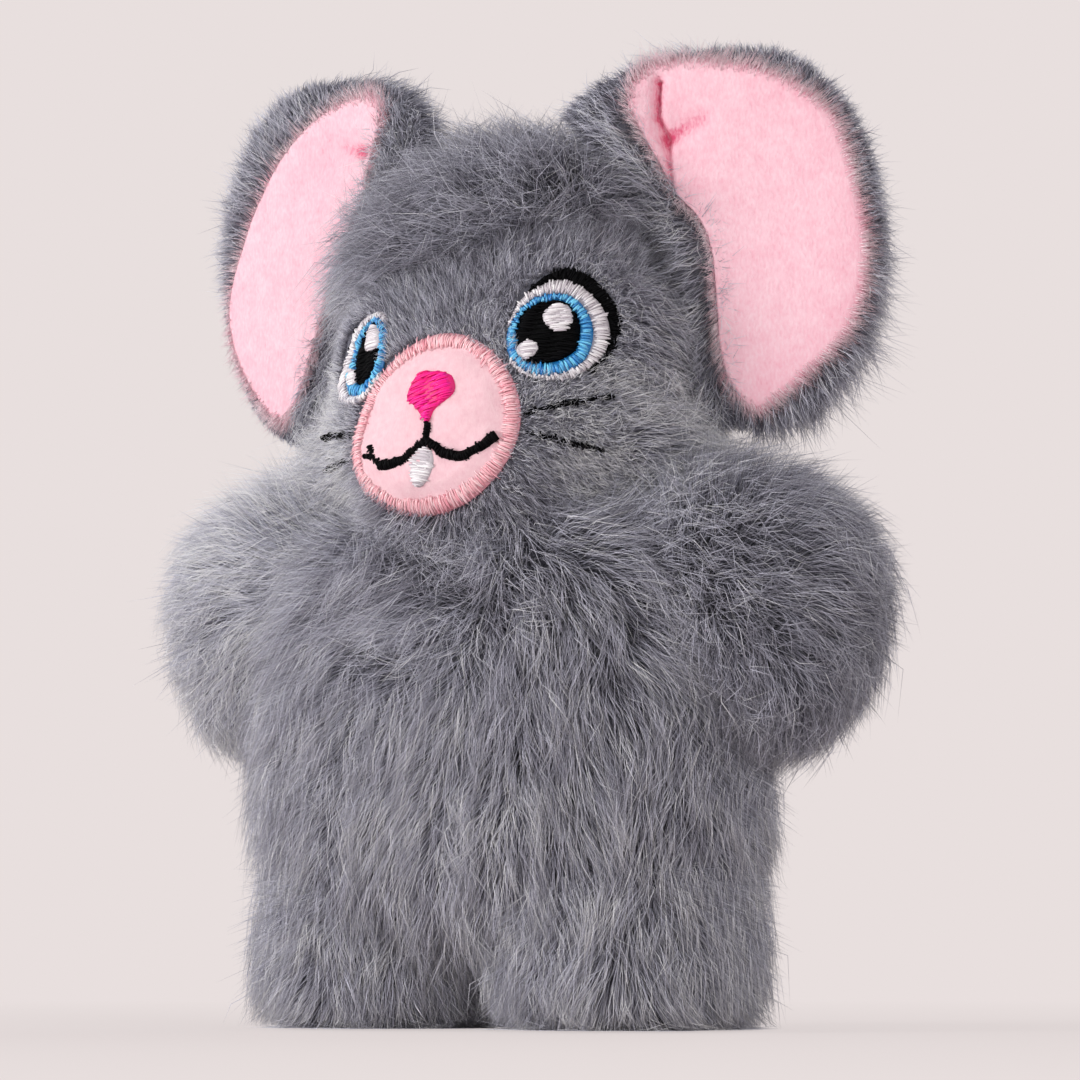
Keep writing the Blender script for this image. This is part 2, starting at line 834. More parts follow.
def scattered(shape: Shape, density: float, random: np.random.Generator) -> Roots:
    """Scatters roots evenly over a shape's faces.

    Args:
        shape: The skin that they stand on.
        density: Roots to the square millimetre.
        random: The draw.

    Returns:
        The roots, with the skin's smoothed normals.
    """
    faces = shape.split()
    a, b, c = (shape.points[faces[:, corner]] for corner in range(3))
    cross = np.cross(b - a, c - a)
    areas = np.linalg.norm(cross, axis=1) / 2
    normals = np.zeros_like(shape.points)
    for corner in range(3):
        np.add.at(normals, faces[:, corner], cross)
    normals = unit(normals)
    count = int(areas.sum() * density)
    chosen = random.choice(len(faces), count, p=areas / areas.sum())
    first, second = random.random((2, count, 1))
    over = first + second > 1
    first, second = np.where(over, 1 - first, first), np.where(over, 1 - second, second)
    picked = faces[chosen]
    rest = 1 - first - second
    points, ways = (
        rest * values[picked[:, 0]] + first * values[picked[:, 1]] + second * values[picked[:, 2]]
        for values in (shape.points, normals)
    )
    return Roots(points, unit(ways), np.ones(count), np.zeros(count), np.zeros(count), np.ones(count))


def stranded(points: Points, chart: Points, sides: int, foot: list[list[int]]) -> Shape:
    """Puts faces on strands that are all alike, each of rings of points that end in a tip.

    Args:
        points: Points by strand, ring after ring, with the tip last.
        chart: Their places on the bake map.
        sides: Points to a ring.
        foot: The triangles that close a strand's foot.

    Returns:
        The strands as one shape.
    """
    count, per = points.shape[:2]
    last = (per // sides - 1) * sides
    around = [(corner, (corner + 1) % sides) for corner in range(sides)]
    quads = [
        [ring + here, ring + after, ring + sides + after, ring + sides + here]
        for ring in range(0, last, sides)
        for here, after in around
    ]
    tips = [[last + here, last + after, per - 1] for here, after in around]
    starts = (np.arange(count) * per)[:, None, None]
    return Shape(
        points.reshape(-1, 3),
        (np.array(quads, int).reshape(1, -1, 4) + starts).reshape(-1, 4),
        (np.array(tips + foot)[None] + starts).reshape(-1, 3),
        chart.reshape(-1, 2),
    )


Flow = Callable[[Points, Points], Points]
Outward = Callable[[Points], Points]


@dataclass
class Fibres:
    """Grows a layer of fibres from its roots, step by step along the way that the pile is combed.

    The flow gives the combed direction at points with outward directions. Outward gives the outward
    direction at points off the skin, or is None to keep the root's.
    """

    pile: Pile
    flow: Flow
    outward: Outward | None
    seed: int
    stray_share: float = 0.02
    stray_lift: float = 0.25
    tightest: float = 0.92

    def __post_init__(self) -> None:
        """Starts the draw, and sets the drifts that bend and shade the pile."""
        self.random = np.random.default_rng(self.seed)
        self.wide_drift, self.fine_drift, self.shade_drift = Drift(13.0, 61), Drift(4.0, 62), Drift(7.0, 63)

    def lines(self, roots: Roots) -> Points:
        """Grows the fibres' centre lines.

        Args:
            roots: Where they start.

        Returns:
            Points by fibre and by step, from root to tip.
        """
        pile, random = self.pile, self.random
        count = len(roots.points)
        length = pile.length * roots.reach * np.exp(random.normal(0, pile.length_spread, count))
        lift = np.radians(pile.lift + roots.lift + random.normal(0, pile.lift_spread, count))
        lay = np.radians(pile.lay + roots.lift * 0.7 + random.normal(0, pile.lift_spread * 0.6, count))
        lift = np.where(random.random(count) < self.stray_share, lift + self.stray_lift, lift)
        own = random.normal(0, pile.wander, (count, 3)) * roots.wander[:, None]
        line = [roots.points]
        normals = roots.normals
        for step in range(pile.segments):
            here = line[-1]
            share = step / max(pile.segments - 1, 1)
            if step and self.outward is not None:
                normals = self.outward(here)
            drift = 0.24 * self.wide_drift.at(roots.points) + 0.1 * self.fine_drift.at(roots.points)
            combed = tangent_to(self.flow(here, normals) + drift + own * (0.6 + 0.8 * share), normals)
            angle = (lift * (1 - share) + lay * share)[:, None]
            way = combed * np.cos(angle) + normals * np.sin(angle)
            line.append(here + way * (length / pile.segments)[:, None])
        return np.stack(line, 1)

    def clumped(self, lines: Points) -> tuple[Points, Points]:
        """Draws neighbouring fibres together towards their tips, as locks do.

        Args:
            lines: Points by fibre and by step.

        Returns:
            The drawn lines, and how much lighter each fibre's lock is than the others.
        """
        count = len(lines)
        leaders = self.random.choice(count, max(1, int(count * self.pile.clump_share)), replace=False)
        tree = KDTree(len(leaders))
        for place, leader in enumerate(leaders):
            tree.insert(lines[leader, 0], place)
        tree.balance()
        locks = np.array([tree.find(root)[1] for root in lines[:, 0]])
        nearest = leaders[locks]
        shade = self.random.normal(0, self.pile.lock_spread, len(leaders))[locks]
        along = np.linspace(0, 1, lines.shape[1])[None, :, None] ** 1.3
        pull = self.pile.clump_pull * self.random.uniform(0.4, 1.2, count)[:, None, None]
        return lines + (lines[nearest] - lines) * np.clip(pull * along, 0, self.tightest), shade

    def shape(self, lines: Points, shade: Points) -> Shape:
        """Wraps the centre lines in tapered three-sided fibres.

        Args:
            lines: Points by fibre and by step.
            shade: How much lighter each fibre's tone is than its pile's.

        Returns:
            The fibres' shape, with their tones on its chart.
        """
        count, steps = lines.shape[:2]
        along = unit(np.gradient(lines, axis=1))
        side = unit(np.cross(along, unit(self.random.normal(size=(count, 1, 3)))))
        other = np.cross(along, side)
        shares = np.linspace(0, 1, steps)
        taper = self.pile.radius * (1 - 0.75 * shares**1.5)
        thick = taper[None, :] * self.random.uniform(0.75, 1.3, count)[:, None]
        rings = []
        for corner in range(FIBRE_SIDES):
            turn = 2 * math.pi * corner / FIBRE_SIDES
            reach = side * math.cos(turn) + other * math.sin(turn)
            rings.append(lines[:, :-1] + reach[:, :-1] * thick[:, :-1, None])
        body = np.stack(rings, 2).reshape(count, -1, 3)
        points = np.concatenate([body, lines[:, -1:]], 1)
        tone = self.pile.tone + shade + 0.09 * self.shade_drift.at(lines[:, 0])[:, 0]
        tone = np.clip(tone + self.random.normal(0, self.pile.tone_spread, count), *TONE_RANGE)
        corner_tones = np.tile(np.linspace(-CHART_GAP, CHART_GAP, FIBRE_SIDES), steps - 1)
        chart_u = np.concatenate([tone[:, None] + corner_tones, tone[:, None]], 1)
        chart_v = np.append(np.repeat(shares[:-1], FIBRE_SIDES), 1.0) * (1 - 2 * CHART_GAP) + CHART_GAP
        return stranded(points, vectors(chart_u, chart_v), FIBRE_SIDES, [[2, 1, 0]])

    def grown(self, roots: Roots, settle: Callable[[Points], Points] | None = None) -> Shape:
        """Grows, clumps and wraps the layer.

        Args:
            roots: Where the fibres start.
            settle: Moves points that must not go where they are, such as below the floor.

        Returns:
            The layer's shape.
        """
        lines, shade = self.clumped(self.lines(roots))
        if settle is not None:
            lines = settle(lines)
        return self.shape(lines, roots.tone + shade)


FACE_ROLL, FACE_HEIGHT = math.radians(4.5), 21.0
FAR_BEHIND = 50.0


@dataclass(frozen=True)
class Patch:
    """An embroidered patch on the face: where its middle is, how far it is turned, and its half sizes."""

    across: float
    up: float
    turn: float
    half_width: float
    half_height: float

    def surface(self) -> Surface:
        """Returns the face about this patch, as points of the toy for places and heights on the patch."""
        return face_surface(self.across, self.up, self.turn)

    def away(self, points: Points) -> Points:
        """Returns how far points of the toy lie outside the patch, in millimetres, negative on it."""
        own = HEAD.place.to_part(points)
        across, up = own[:, 0], own[:, 2] - FACE_HEIGHT
        x = across * math.cos(FACE_ROLL) + up * math.sin(FACE_ROLL) - self.across
        z = -across * math.sin(FACE_ROLL) + up * math.cos(FACE_ROLL) + FACE_HEIGHT - self.up
        x = x / math.cos(math.radians(self.turn))
        out = np.sqrt((x / self.half_width) ** 2 + (z / self.half_height) ** 2) - 1
        return np.where(own[:, 1] < 0, out * min(self.half_width, self.half_height), FAR_BEHIND)

    def closeness(self, points: Points, margin: float) -> Points:
        """Returns 1 on the patch, and less further out, down to 0 at a margin from it.

        Args:
            points: Points in the toy's frame.
            margin: How far out the value reaches 0, in millimetres.

        Returns:
            A share from 0 to 1 for each point.
        """
        return 1 - smoothstep(0.0, margin, self.away(points))


def face_surface(across: float, up: float, turn: float) -> Surface:
    """Returns the face about a spot on it as a surface.

    Args:
        across: The spot's place across the face.
        up: Its place up the head.
        turn: How far the spot faces sideways, in degrees.

    Returns:
        A function of places across and up the spot and of a height over it.
    """
    angle, roll = math.radians(turn), FACE_ROLL

    def surface(u: Points, v: Points, lift: Points) -> Points:
        """Returns points of the toy for places about the spot and heights over it."""
        x = across + u * math.cos(angle)
        z = up + v - FACE_HEIGHT
        rolled_x = x * math.cos(roll) - z * math.sin(roll)
        rolled_z = FACE_HEIGHT + x * math.sin(roll) + z * math.cos(roll)
        y = HEAD.front_at(rolled_x, rolled_z)
        own = np.stack([rolled_x + lift * math.sin(angle), y - lift * math.cos(angle), rolled_z], -1)
        return HEAD.place.to_toy(own)

    return surface


MUZZLE = Patch(-0.9, 15.2, 0, 11.9, 11.0)
EYES = {Side.LEFT: Patch(15.1, 26.4, 32, 7.1, 7.1), Side.RIGHT: Patch(-11.6, 25.0, -32, 5.4, 5.9)}
WHISKERS = {
    (Side.LEFT, "upper"): Patch(15.7, 15.1, 38, 5.9, 0.5),
    (Side.LEFT, "lower"): Patch(15.3, 12.8, 38, 5.0, 0.5),
    (Side.RIGHT, "upper"): Patch(-16.4, 15.4, -38, 4.6, 0.5),
    (Side.RIGHT, "lower"): Patch(-16.4, 12.4, -38, 4.6, 0.5),
}
WHISKER_TILTS = dict(zip(WHISKERS, (11, -12, 9, 2)))


def pressed(points: Points, margin: float) -> Points:
    """Returns how far the pile is pressed flat by embroidery: 1 under it, 0 at a margin from it."""
    patches = [MUZZLE, *EYES.values()]
    return np.max([patch.closeness(points, margin) for patch in patches], axis=0)


def stitched_over(points: Points, margin: float) -> Points:
    """Returns which points lie further than a margin inside the muzzle or an eye."""
    return np.min([patch.away(points) for patch in (MUZZLE, *EYES.values())], axis=0) < -margin


def on_whisker(points: Points, margin: float) -> Points:
    """Returns 1 on a whisker's stitches, and 0 at a margin from them."""
    return np.max([patch.closeness(points, margin) for patch in WHISKERS.values()], axis=0)


def sheared(points: Points) -> Points:
    """Returns how closely the pile is sheared: 1 on the face, 0 elsewhere."""
    own = HEAD.place.to_part(points)
    across, height = own[:, 0], own[:, 2]
    top = 37.5 + 0.34 * across
    inside = smoothstep(4.0, 9.0, height) * (1 - smoothstep(top - 2, top + 2, height))
    sides = 1 - smoothstep(18.5, 22.5, np.abs(across))
    front = smoothstep(1.0, -4.0, own[:, 1])
    near_head = 1 - smoothstep(1.0, 4.0, HEAD.distance(points))
    return inside * sides * front * near_head


@dataclass(frozen=True)
class Spot:
    """A spot of the toy where the pile differs: its middle and its reach, across and up."""

    across: float
    height: float
    half_width: float
    half_height: float

    def share_at(self, points: Points, both_sides: bool = False) -> Points:
        """Returns how near points are to the spot.

        Args:
            points: Points in the toy's frame.
            both_sides: Whether the toy's other side has the same spot.

        Returns:
            1 at the spot's middle, and less further out.
        """
        across = np.abs(points[:, 0]) if both_sides else points[:, 0]
        aside = ((across - self.across) / self.half_width) ** 2
        return np.exp(-aside - ((points[:, 2] - self.height) / self.half_height) ** 2)


SHOULDER, BROW = Spot(26, 67, 9, 9), Spot(2, 93, 14, 7)
CHEST, CHEST_WHORL = Spot(-4, 55, 13, 8), Spot(-5, 54, 12, 9)
CHEST_SWIRL, CROWN_SWIRL = Drift(11.0, 71), Drift(9.0, 72)


def ruff(points: Points) -> Points:
    """Returns how far the long pile bunches up between the head and the shoulders: 1 at most."""
    return SHOULDER.share_at(points, both_sides=True)


def on_crown(points: Points) -> Points:
    """Returns how near points are to the top of the head: 1 on it."""
    return smoothstep(92.0, 102.0, points[:, 2]) * (np.abs(points[:, 0]) < 26)


def rumpled(points: Points) -> Points:
    """Returns how much the pile stands open and every way, on the crown, the brow and the chest: 1 at most."""
    chest = CHEST.share_at(points) * (points[:, 1] < 0)
    return np.clip(on_crown(points) + BROW.share_at(points) + chest, 0, 1)


def gloom(points: Points) -> Points:
    """Returns how much deeper in tone the pile is, which it is where it stands open: 1 at most."""
    x, z = points[:, 0], points[:, 2]
    arm = smoothstep(26.0, 34.0, x) * smoothstep(34.0, 44.0, z) * (z < 70)
    return np.clip(rumpled(points) + 0.7 * arm, 0, 1)


def bunched(flow: Points, points: Points) -> Points:
    """Turns combed directions up and out where the pile bunches up.

    Args:
        flow: The directions.
        points: Where in the toy's frame they are.

    Returns:
        The turned directions.
    """
    out = vectors(1.1 * np.sign(points[:, 0]), 0, 0.5)
    share = ruff(points)[:, None]
    return flow * (1 - share) + out * share


def body_flow(points: Points, _normals: Points) -> Points:
    """Gives the way that the pile is combed on the body: down, fanning out from the chin along the arms.

    Args:
        points: Points in the toy's frame.

    Returns:
        A direction for each point.
    """
    x, z = points[:, 0], points[:, 2]
    side = np.tanh(x / 7)
    out = np.clip((z - 34) / 32, 0, 1) * np.clip((np.abs(x) - 4) / 26, 0, 1)
    flow = vectors(side * (0.12 + 1.7 * out**1.4), 0, -1 + 0.72 * out)
    messy = CHEST_WHORL.share_at(points) * (points[:, 1] < 0)
    return bunched(flow + messy[:, None] * 1.1 * CHEST_SWIRL.at(points), points)


def head_flow(points: Points, _normals: Points) -> Points:
    """Gives the way that the pile is combed on the head: out from the muzzle, off the parting and down behind.

    Args:
        points: Points in the toy's frame.

    Returns:
        A direction for each point.
    """
    x, y, z = HEAD.place.to_part(points).T
    rise = z - MUZZLE.up
    away = np.sqrt(x**2 + rise**2) + 1e-6
    face = vectors(x / away, 0, rise / away - 0.45 * (rise < 0))
    parting = np.tanh((x - 14) / 5)
    brow = vectors(0.9 * parting, -0.2, -0.75) + 0.7 * CROWN_SWIRL.at(points)
    behind = vectors(0.25 * np.sign(x), 0.35, -1)
    cheek = vectors(0.8 * np.sign(x), 0.3, -0.75)
    front = smoothstep(3.0, -5.0, y)[:, None]
    high = smoothstep(30.0, 40.0, z)[:, None]
    outer = (high * brow + (1 - high) * cheek) * front + behind * (1 - front)
    close = sheared(points)[:, None]
    return face * close + bunched(outer, points) * (1 - close)


def limb_flow(points: Points, _normals: Points) -> Points:
    """Gives the way that the pile is combed on the legs: down and a little apart.

    Args:
        points: Points in the toy's frame.

    Returns:
        A direction for each point.
    """
    x, y = points[:, 0], points[:, 1]
    return vectors((x - LEG_MIDDLE * np.sign(x)) * 0.02, y * 0.01, -1)


def settled(lines: Points) -> Points:
    """Keeps fibres off the floor: what would go below it lies out along it.

    Args:
        lines: The fibres' points in the toy's frame, which are moved.

    Returns:
        The same points.
    """
    low = np.minimum(lines[..., 2] - 0.25, 0)
    out = unit(lines[..., :2] * [1.0, 1.4])
    lines[..., :2] -= out * low[..., None] * 0.5
    lines[..., 2] -= low
    return lines


def in_order(mesh: bpy.types.Mesh) -> tuple[Points, list[list[int]]]:
    """Returns a mesh's points and faces in an order that is the same in each run, as a new primitive's isn't.

    Args:
        mesh: The mesh.

    Returns:
        Its points from the lowest to the highest, and its faces as lists of places among them.
    """
    points = np.array([vertex.co for vertex in mesh.vertices])
    order = np.lexsort(np.round(points, 5).T)
    places = np.argsort(order)
    faces = []
    for polygon in mesh.polygons:
        corners = [int(places[corner]) for corner in polygon.vertices]
        first = corners.index(min(corners))
        faces.append(corners[first:] + corners[:first])
    return points[order], sorted(faces)


@dataclass
class StuffedPart:
    """One stuffed part of the body: its cloth and the layers of pile on it."""

    name: str
    form: StuffedForm
    flow: Flow
    halves: bool
    seed: int
    undercoat: Pile
    guard: Pile
    fuzz: Pile | None = None
    depth: float = 3.0
    wall: float = 1.2
    seam_gap: float = 0.15
    root_depth: float = 0.6
    sole_height: float = 1.0
    _skin: Shape | None = None

    def skin(self) -> Shape:
        """Returns the cloth's outer face, which stands under the pile and comes up under the embroidery."""
        if self._skin is None:
            bpy.ops.object.select_all(action="DESELECT")
            bpy.ops.mesh.primitive_uv_sphere_add(segments=64, ring_count=40, radius=1.0)
            ball = bpy.context.object.data
            sphere, faces = in_order(ball)
            bpy.data.meshes.remove(ball)
            inner = self.form.grown_by(-self.depth).shaped(sphere)
            outer = self.form.grown_by(-0.1).shaped(sphere)
            if self.name == "head":
                raised = np.maximum(pressed(outer, 7.0), 0.75 * on_whisker(outer, 4.0))
                inner = inner + (outer - inner) * raised[:, None]
            self._skin = Shape(inner, *(np.array([face for face in faces if len(face) == size]) for size in (4, 3)))
        return self._skin

    def cloth(self, room: Workroom) -> None:
        """Adds the part's cloth, in two panels where it is sewn from two."""
        whole, cut = [("", 0, "_cover")], [("_front", -1, "_front_panel"), ("_back", 1, "_back_panel")]
        for half, sign, node in cut if self.halves else whole:
            name = f"{self.name}{half}_cloth"
            piece = room.add(name, self.skin(), GREY_CLOTH, "grey_plush", stands_for=(self.name + node,))
            if sign:
                self._cut(piece, sign)
            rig.padded(piece, fill=0.85)

    def _cut(self, piece: bpy.types.Object, sign: int) -> None:
        """Cuts a closed skin at the side seam, keeps one half and gives it a wall.

        Args:
            piece: The skin's object.
            sign: -1 to keep its front, 1 to keep its back.
        """
        origin, normal = self.form.place.origin * MM, self.form.place.turn @ np.array([0.0, 1.0, 0.0])
        bpy.ops.object.select_all(action="DESELECT")
        piece.select_set(True)
        bpy.context.view_layer.objects.active = piece
        bpy.ops.object.mode_set(mode="EDIT")
        bpy.ops.mesh.select_all(action="SELECT")
        bpy.ops.mesh.bisect(
            plane_co=origin + normal * sign * self.seam_gap * MM,
            plane_no=normal,
            clear_inner=sign > 0,
            clear_outer=sign < 0,
        )
        bpy.ops.object.mode_set(mode="OBJECT")
        wall = piece.modifiers.new("wall", "SOLIDIFY")
        wall.thickness, wall.offset = self.wall * MM, -1
        bpy.ops.object.modifier_apply(modifier="wall")

    def pile(self, room: Workroom) -> None:
        """Adds the layers of pile on the part."""
        layers = [(Layer.UNDERCOAT, self.undercoat, GREY_UNDERCOAT), (Layer.GUARD, self.guard, GREY_GUARD)]
        if self.fuzz is not None:
            layers.append((Layer.FUZZ, self.fuzz, GREY_GUARD))
        for offset, (layer, pile, finish) in enumerate(layers):
            seed = self.seed + 10 * offset
            random = np.random.default_rng(seed)
            roots = self._rooted(scattered(self.skin(), pile.density, random), layer)
            fibres = Fibres(pile, self.flow, body_normals, seed + 3)
            behind = self.form.place.to_part(roots.points)[:, 1] > 0
            halves = {"_front": ~behind, "_back": behind} if self.halves else {"": np.ones_like(behind)}
            if layer is Layer.FUZZ:
                del halves["_back"]
            for half, which in halves.items():
                name = f"{self.name}{half}_{layer.value}"
                room.add(name, fibres.grown(roots.kept(which), settled), finish, "grey_plush")

    def _rooted(self, roots: Roots, layer: Layer) -> Roots:
        """Leaves out roots inside other parts, on the sole or under embroidery, and sets how the others grow.

        Args:
            roots: The roots all over the skin.
            layer: The kind of fibre.

        Returns:
            The roots that are kept.
        """
        keep = np.ones(len(roots.points), bool)
        for name, form in FORMS.items():
            if name != self.name:
                keep &= form.distance(roots.points) > -self.depth - self.root_depth
        keep &= roots.points[:, 2] > self.sole_height
        if self.name == "head":
            keep &= ~stitched_over(roots.points, 0.7)
        if layer is Layer.FUZZ:
            keep &= sheared(roots.points) > 0.3
        roots = roots.kept(keep)
        points, height = roots.points, roots.points[:, 2]
        open_pile, close, bunch = rumpled(points), sheared(points), ruff(points)
        roots.tone -= (0.4 if layer is Layer.UNDERCOAT else 0.34) * gloom(points)
        roots.tone += 0.14 * smoothstep(50.0, 20.0, height)
        roots.wander *= 1 + 2.2 * open_pile * (1 - close)
        roots.reach *= 1 + 0.4 * bunch
        roots.reach *= 1 + 0.08 * open_pile
        roots.lift += 22 * bunch
        roots.wander *= 1 + 0.8 * bunch
        if self.name.startswith("arm"):
            roots.reach *= 0.94
            roots.wander *= 1.8
            roots.tone += 0.3 if self.name == "arm_right" else 0.0
        if self.name == "torso":
            roots.reach *= 1 + 0.5 * smoothstep(27.0, 15.0, height)
        if self.name == "head":
            x, y, z = self.form.place.to_part(points).T
            brow = smoothstep(34.0, 39.0, z) * (1 - smoothstep(45.0, 50.0, z)) * (y < -4)
            cheek = smoothstep(15.0, 20.0, np.abs(x)) * smoothstep(-8.0, -2.0, y)
            near = np.maximum(pressed(points, 5.0), 0.6 * on_whisker(points, 3.0))
            shorn = 0.0 if layer is Layer.FUZZ else 0.6
            for share in (1 + 0.3 * brow, 1 + 0.25 * cheek, 1 - shorn * close, 1 - 0.4 * near):
                roots.reach *= share
            roots.tone += 0.36 * smoothstep(10.0, 17.0, np.abs(x)) * (z < 24)
            roots.lift += 14 * pressed(points, 1.5)
        return roots


def slab(top: Points, bottom: Points, around: bool, filled: bool) -> Shape:
    """Builds a closed thin solid from the rows of its top and of its bottom.

    Args:
        top: Points by row, from the inner to the outer one, and by column.
        bottom: The same places on the underside.
        around: Whether the rows close on themselves.
        filled: Whether the first row is a single point repeated.

    Returns:
        The solid, with its faces outwards.
    """
    rows, columns = top.shape[:2]
    points = np.concatenate([top.reshape(-1, 3), bottom.reshape(-1, 3)])
    under = rows * columns
    quads, triangles = [], []
    for column in range(columns if around else columns - 1):
        after = (column + 1) % columns
        for row in range(rows - 1):
            a, b = row * columns + column, row * columns + after
            c, d = a + columns, b + columns
            if filled and row == 0:
                triangles += [[0, c, d], [under, under + d, under + c]]
            else:
                quads += [[a, c, d, b], [under + a, under + b, under + d, under + c]]
        edge = (rows - 1) * columns
        quads.append([edge + column, under + edge + column, under + edge + after, edge + after])
        if not filled:
            quads.append([column, after, under + after, under + column])
    for row in range(0 if around else rows - 1):
        a, c = row * columns, (row + 1) * columns
        b, d = a + columns - 1, c + columns - 1
        quads += [[a, under + a, under + c, c], [b, d, under + d, under + b]]
    shape = Shape(points, np.array(quads, int).reshape(-1, 4), np.array(triangles, int).reshape(-1, 3))
    return outwards(shape)


def outwards(shape: Shape) -> Shape:
    """Turns the faces of a closed shape outwards, and leaves out points that no face uses.

    Args:
        shape: The shape, whose faces all point in or all out.

    Returns:
        The shape with its faces outwards.
    """
    faces = shape.split()
    a, b, c = (shape.points[faces[:, corner]] for corner in range(3))
    if np.sum(a * np.cross(b, c)) < 0:
        shape.quads, shape.triangles = shape.quads[:, ::-1], shape.triangles[:, ::-1]
    used = np.unique(faces)
    places = np.zeros(len(shape.points), int)
    places[used] = np.arange(len(used))
    chart = None if shape.chart is None else shape.chart[used]
    return Shape(shape.points[used], places[shape.quads], places[shape.triangles], chart)


SEAM_FOOT, SEAM_TOP = np.array([22.0, 5.0, 76.0]), np.array([8.0, 3.0, 111.0])


def head_at_fold(degrees: float) -> StuffedForm:
    """Returns the head as the left ear sees it when that ear is folded forward by an angle."""
    axis = unit(SEAM_TOP - SEAM_FOOT)
    swing = np.array(Matrix.Rotation(math.radians(-degrees), 3, Vector(axis)))
    place = Place(swing @ HEAD.place.turn, swing @ (HEAD.place.origin - SEAM_FOOT) + SEAM_FOOT)
    return replace(HEAD, place=place)


@dataclass(frozen=True)
class Tuck:
    """A crease in an ear's lining: a line of places on the ear, and how deep and how wide it is."""

    line: tuple[tuple[float, float], ...]
    depth: float
    width: float

    def share_at(self, u: Points, v: Points) -> Points:
        """Returns how near places are to the crease.

        Args:
            u: Places outwards on the ear.
            v: Places up it.

        Returns:
            1 on the crease's line, less beside it, and less still towards its end.
        """
        spot = np.stack([u, v], -1)
        best = np.zeros(np.shape(u))
        for number, (start, end) in enumerate(zip(self.line, self.line[1:])):
            start, way = np.array(start), np.array(end) - start
            along = np.clip((spot - start) @ way / (way @ way), 0, 1)
            away = np.linalg.norm(spot - start - along[..., None] * way, axis=-1)
            faded = 1 - 0.55 * (number + along) / (len(self.line) - 1)
            best = np.maximum(best, faded * np.exp(-((away / self.width) ** 2)))
        return best


LINING_EDGES = {
    Side.LEFT: [
        (14.8, -1.0), (13.8, 5.0), (12.8, 9.5), (10.6, 14.8), (6.6, 18.6), (1.5, 21.2), (-5.0, 22.5), (-10.5, 22.6),
        (-14.4, 21.0), (-15.4, 17.6), (-13.8, 13.6), (-11.6, 9.6), (-9.8, 6.0), (-6.6, 2.6), (-4.9, -1.5),
        (-4.2, -8.0), (-3.7, -14.5), (-2.2, -19.2), (0.6, -22.0), (3.9, -20.3), (7.8, -17.0), (11.0, -14.0),
        (13.3, -10.6), (14.6, -6.0),
    ],
    Side.RIGHT: [
        (13.9, -4.8), (12.5, 0.2), (11.0, 3.4), (9.4, 6.8), (6.9, 10.7), (3.5, 14.8), (-2.2, 18.9), (-9.0, 21.2),
        (-14.0, 20.8), (-15.6, 18.0), (-14.0, 14.0), (-12.4, 9.0), (-11.0, 6.4), (-8.3, 2.4), (-5.9, -1.7),
        (-4.4, -6.0), (-2.6, -11.0), (-0.8, -15.5), (1.4, -19.2), (3.8, -20.4), (6.7, -18.8), (9.3, -15.8),
        (11.6, -12.8), (13.3, -9.0),
    ],
}
TUCKS = {
    Side.LEFT: (
        Tuck(((-11.4, 19.6), (-11.6, 15.1), (-10.4, 12.4), (-9.9, 6.0)), 1.7, 0.5),
        Tuck(((-10.4, 12.4), (-5.8, 15.0)), 0.6, 1.1),
        Tuck(((-9.4, 14.0), (-8.0, 4.0)), 0.8, 3.2),
    ),
    Side.RIGHT: (
        Tuck(((-11.8, 13.6), (-7.6, 14.4)), 0.9, 0.9),
        Tuck(((-6.0, 14.0), (1.0, 8.0)), 0.9, 4.0),
    ),
}


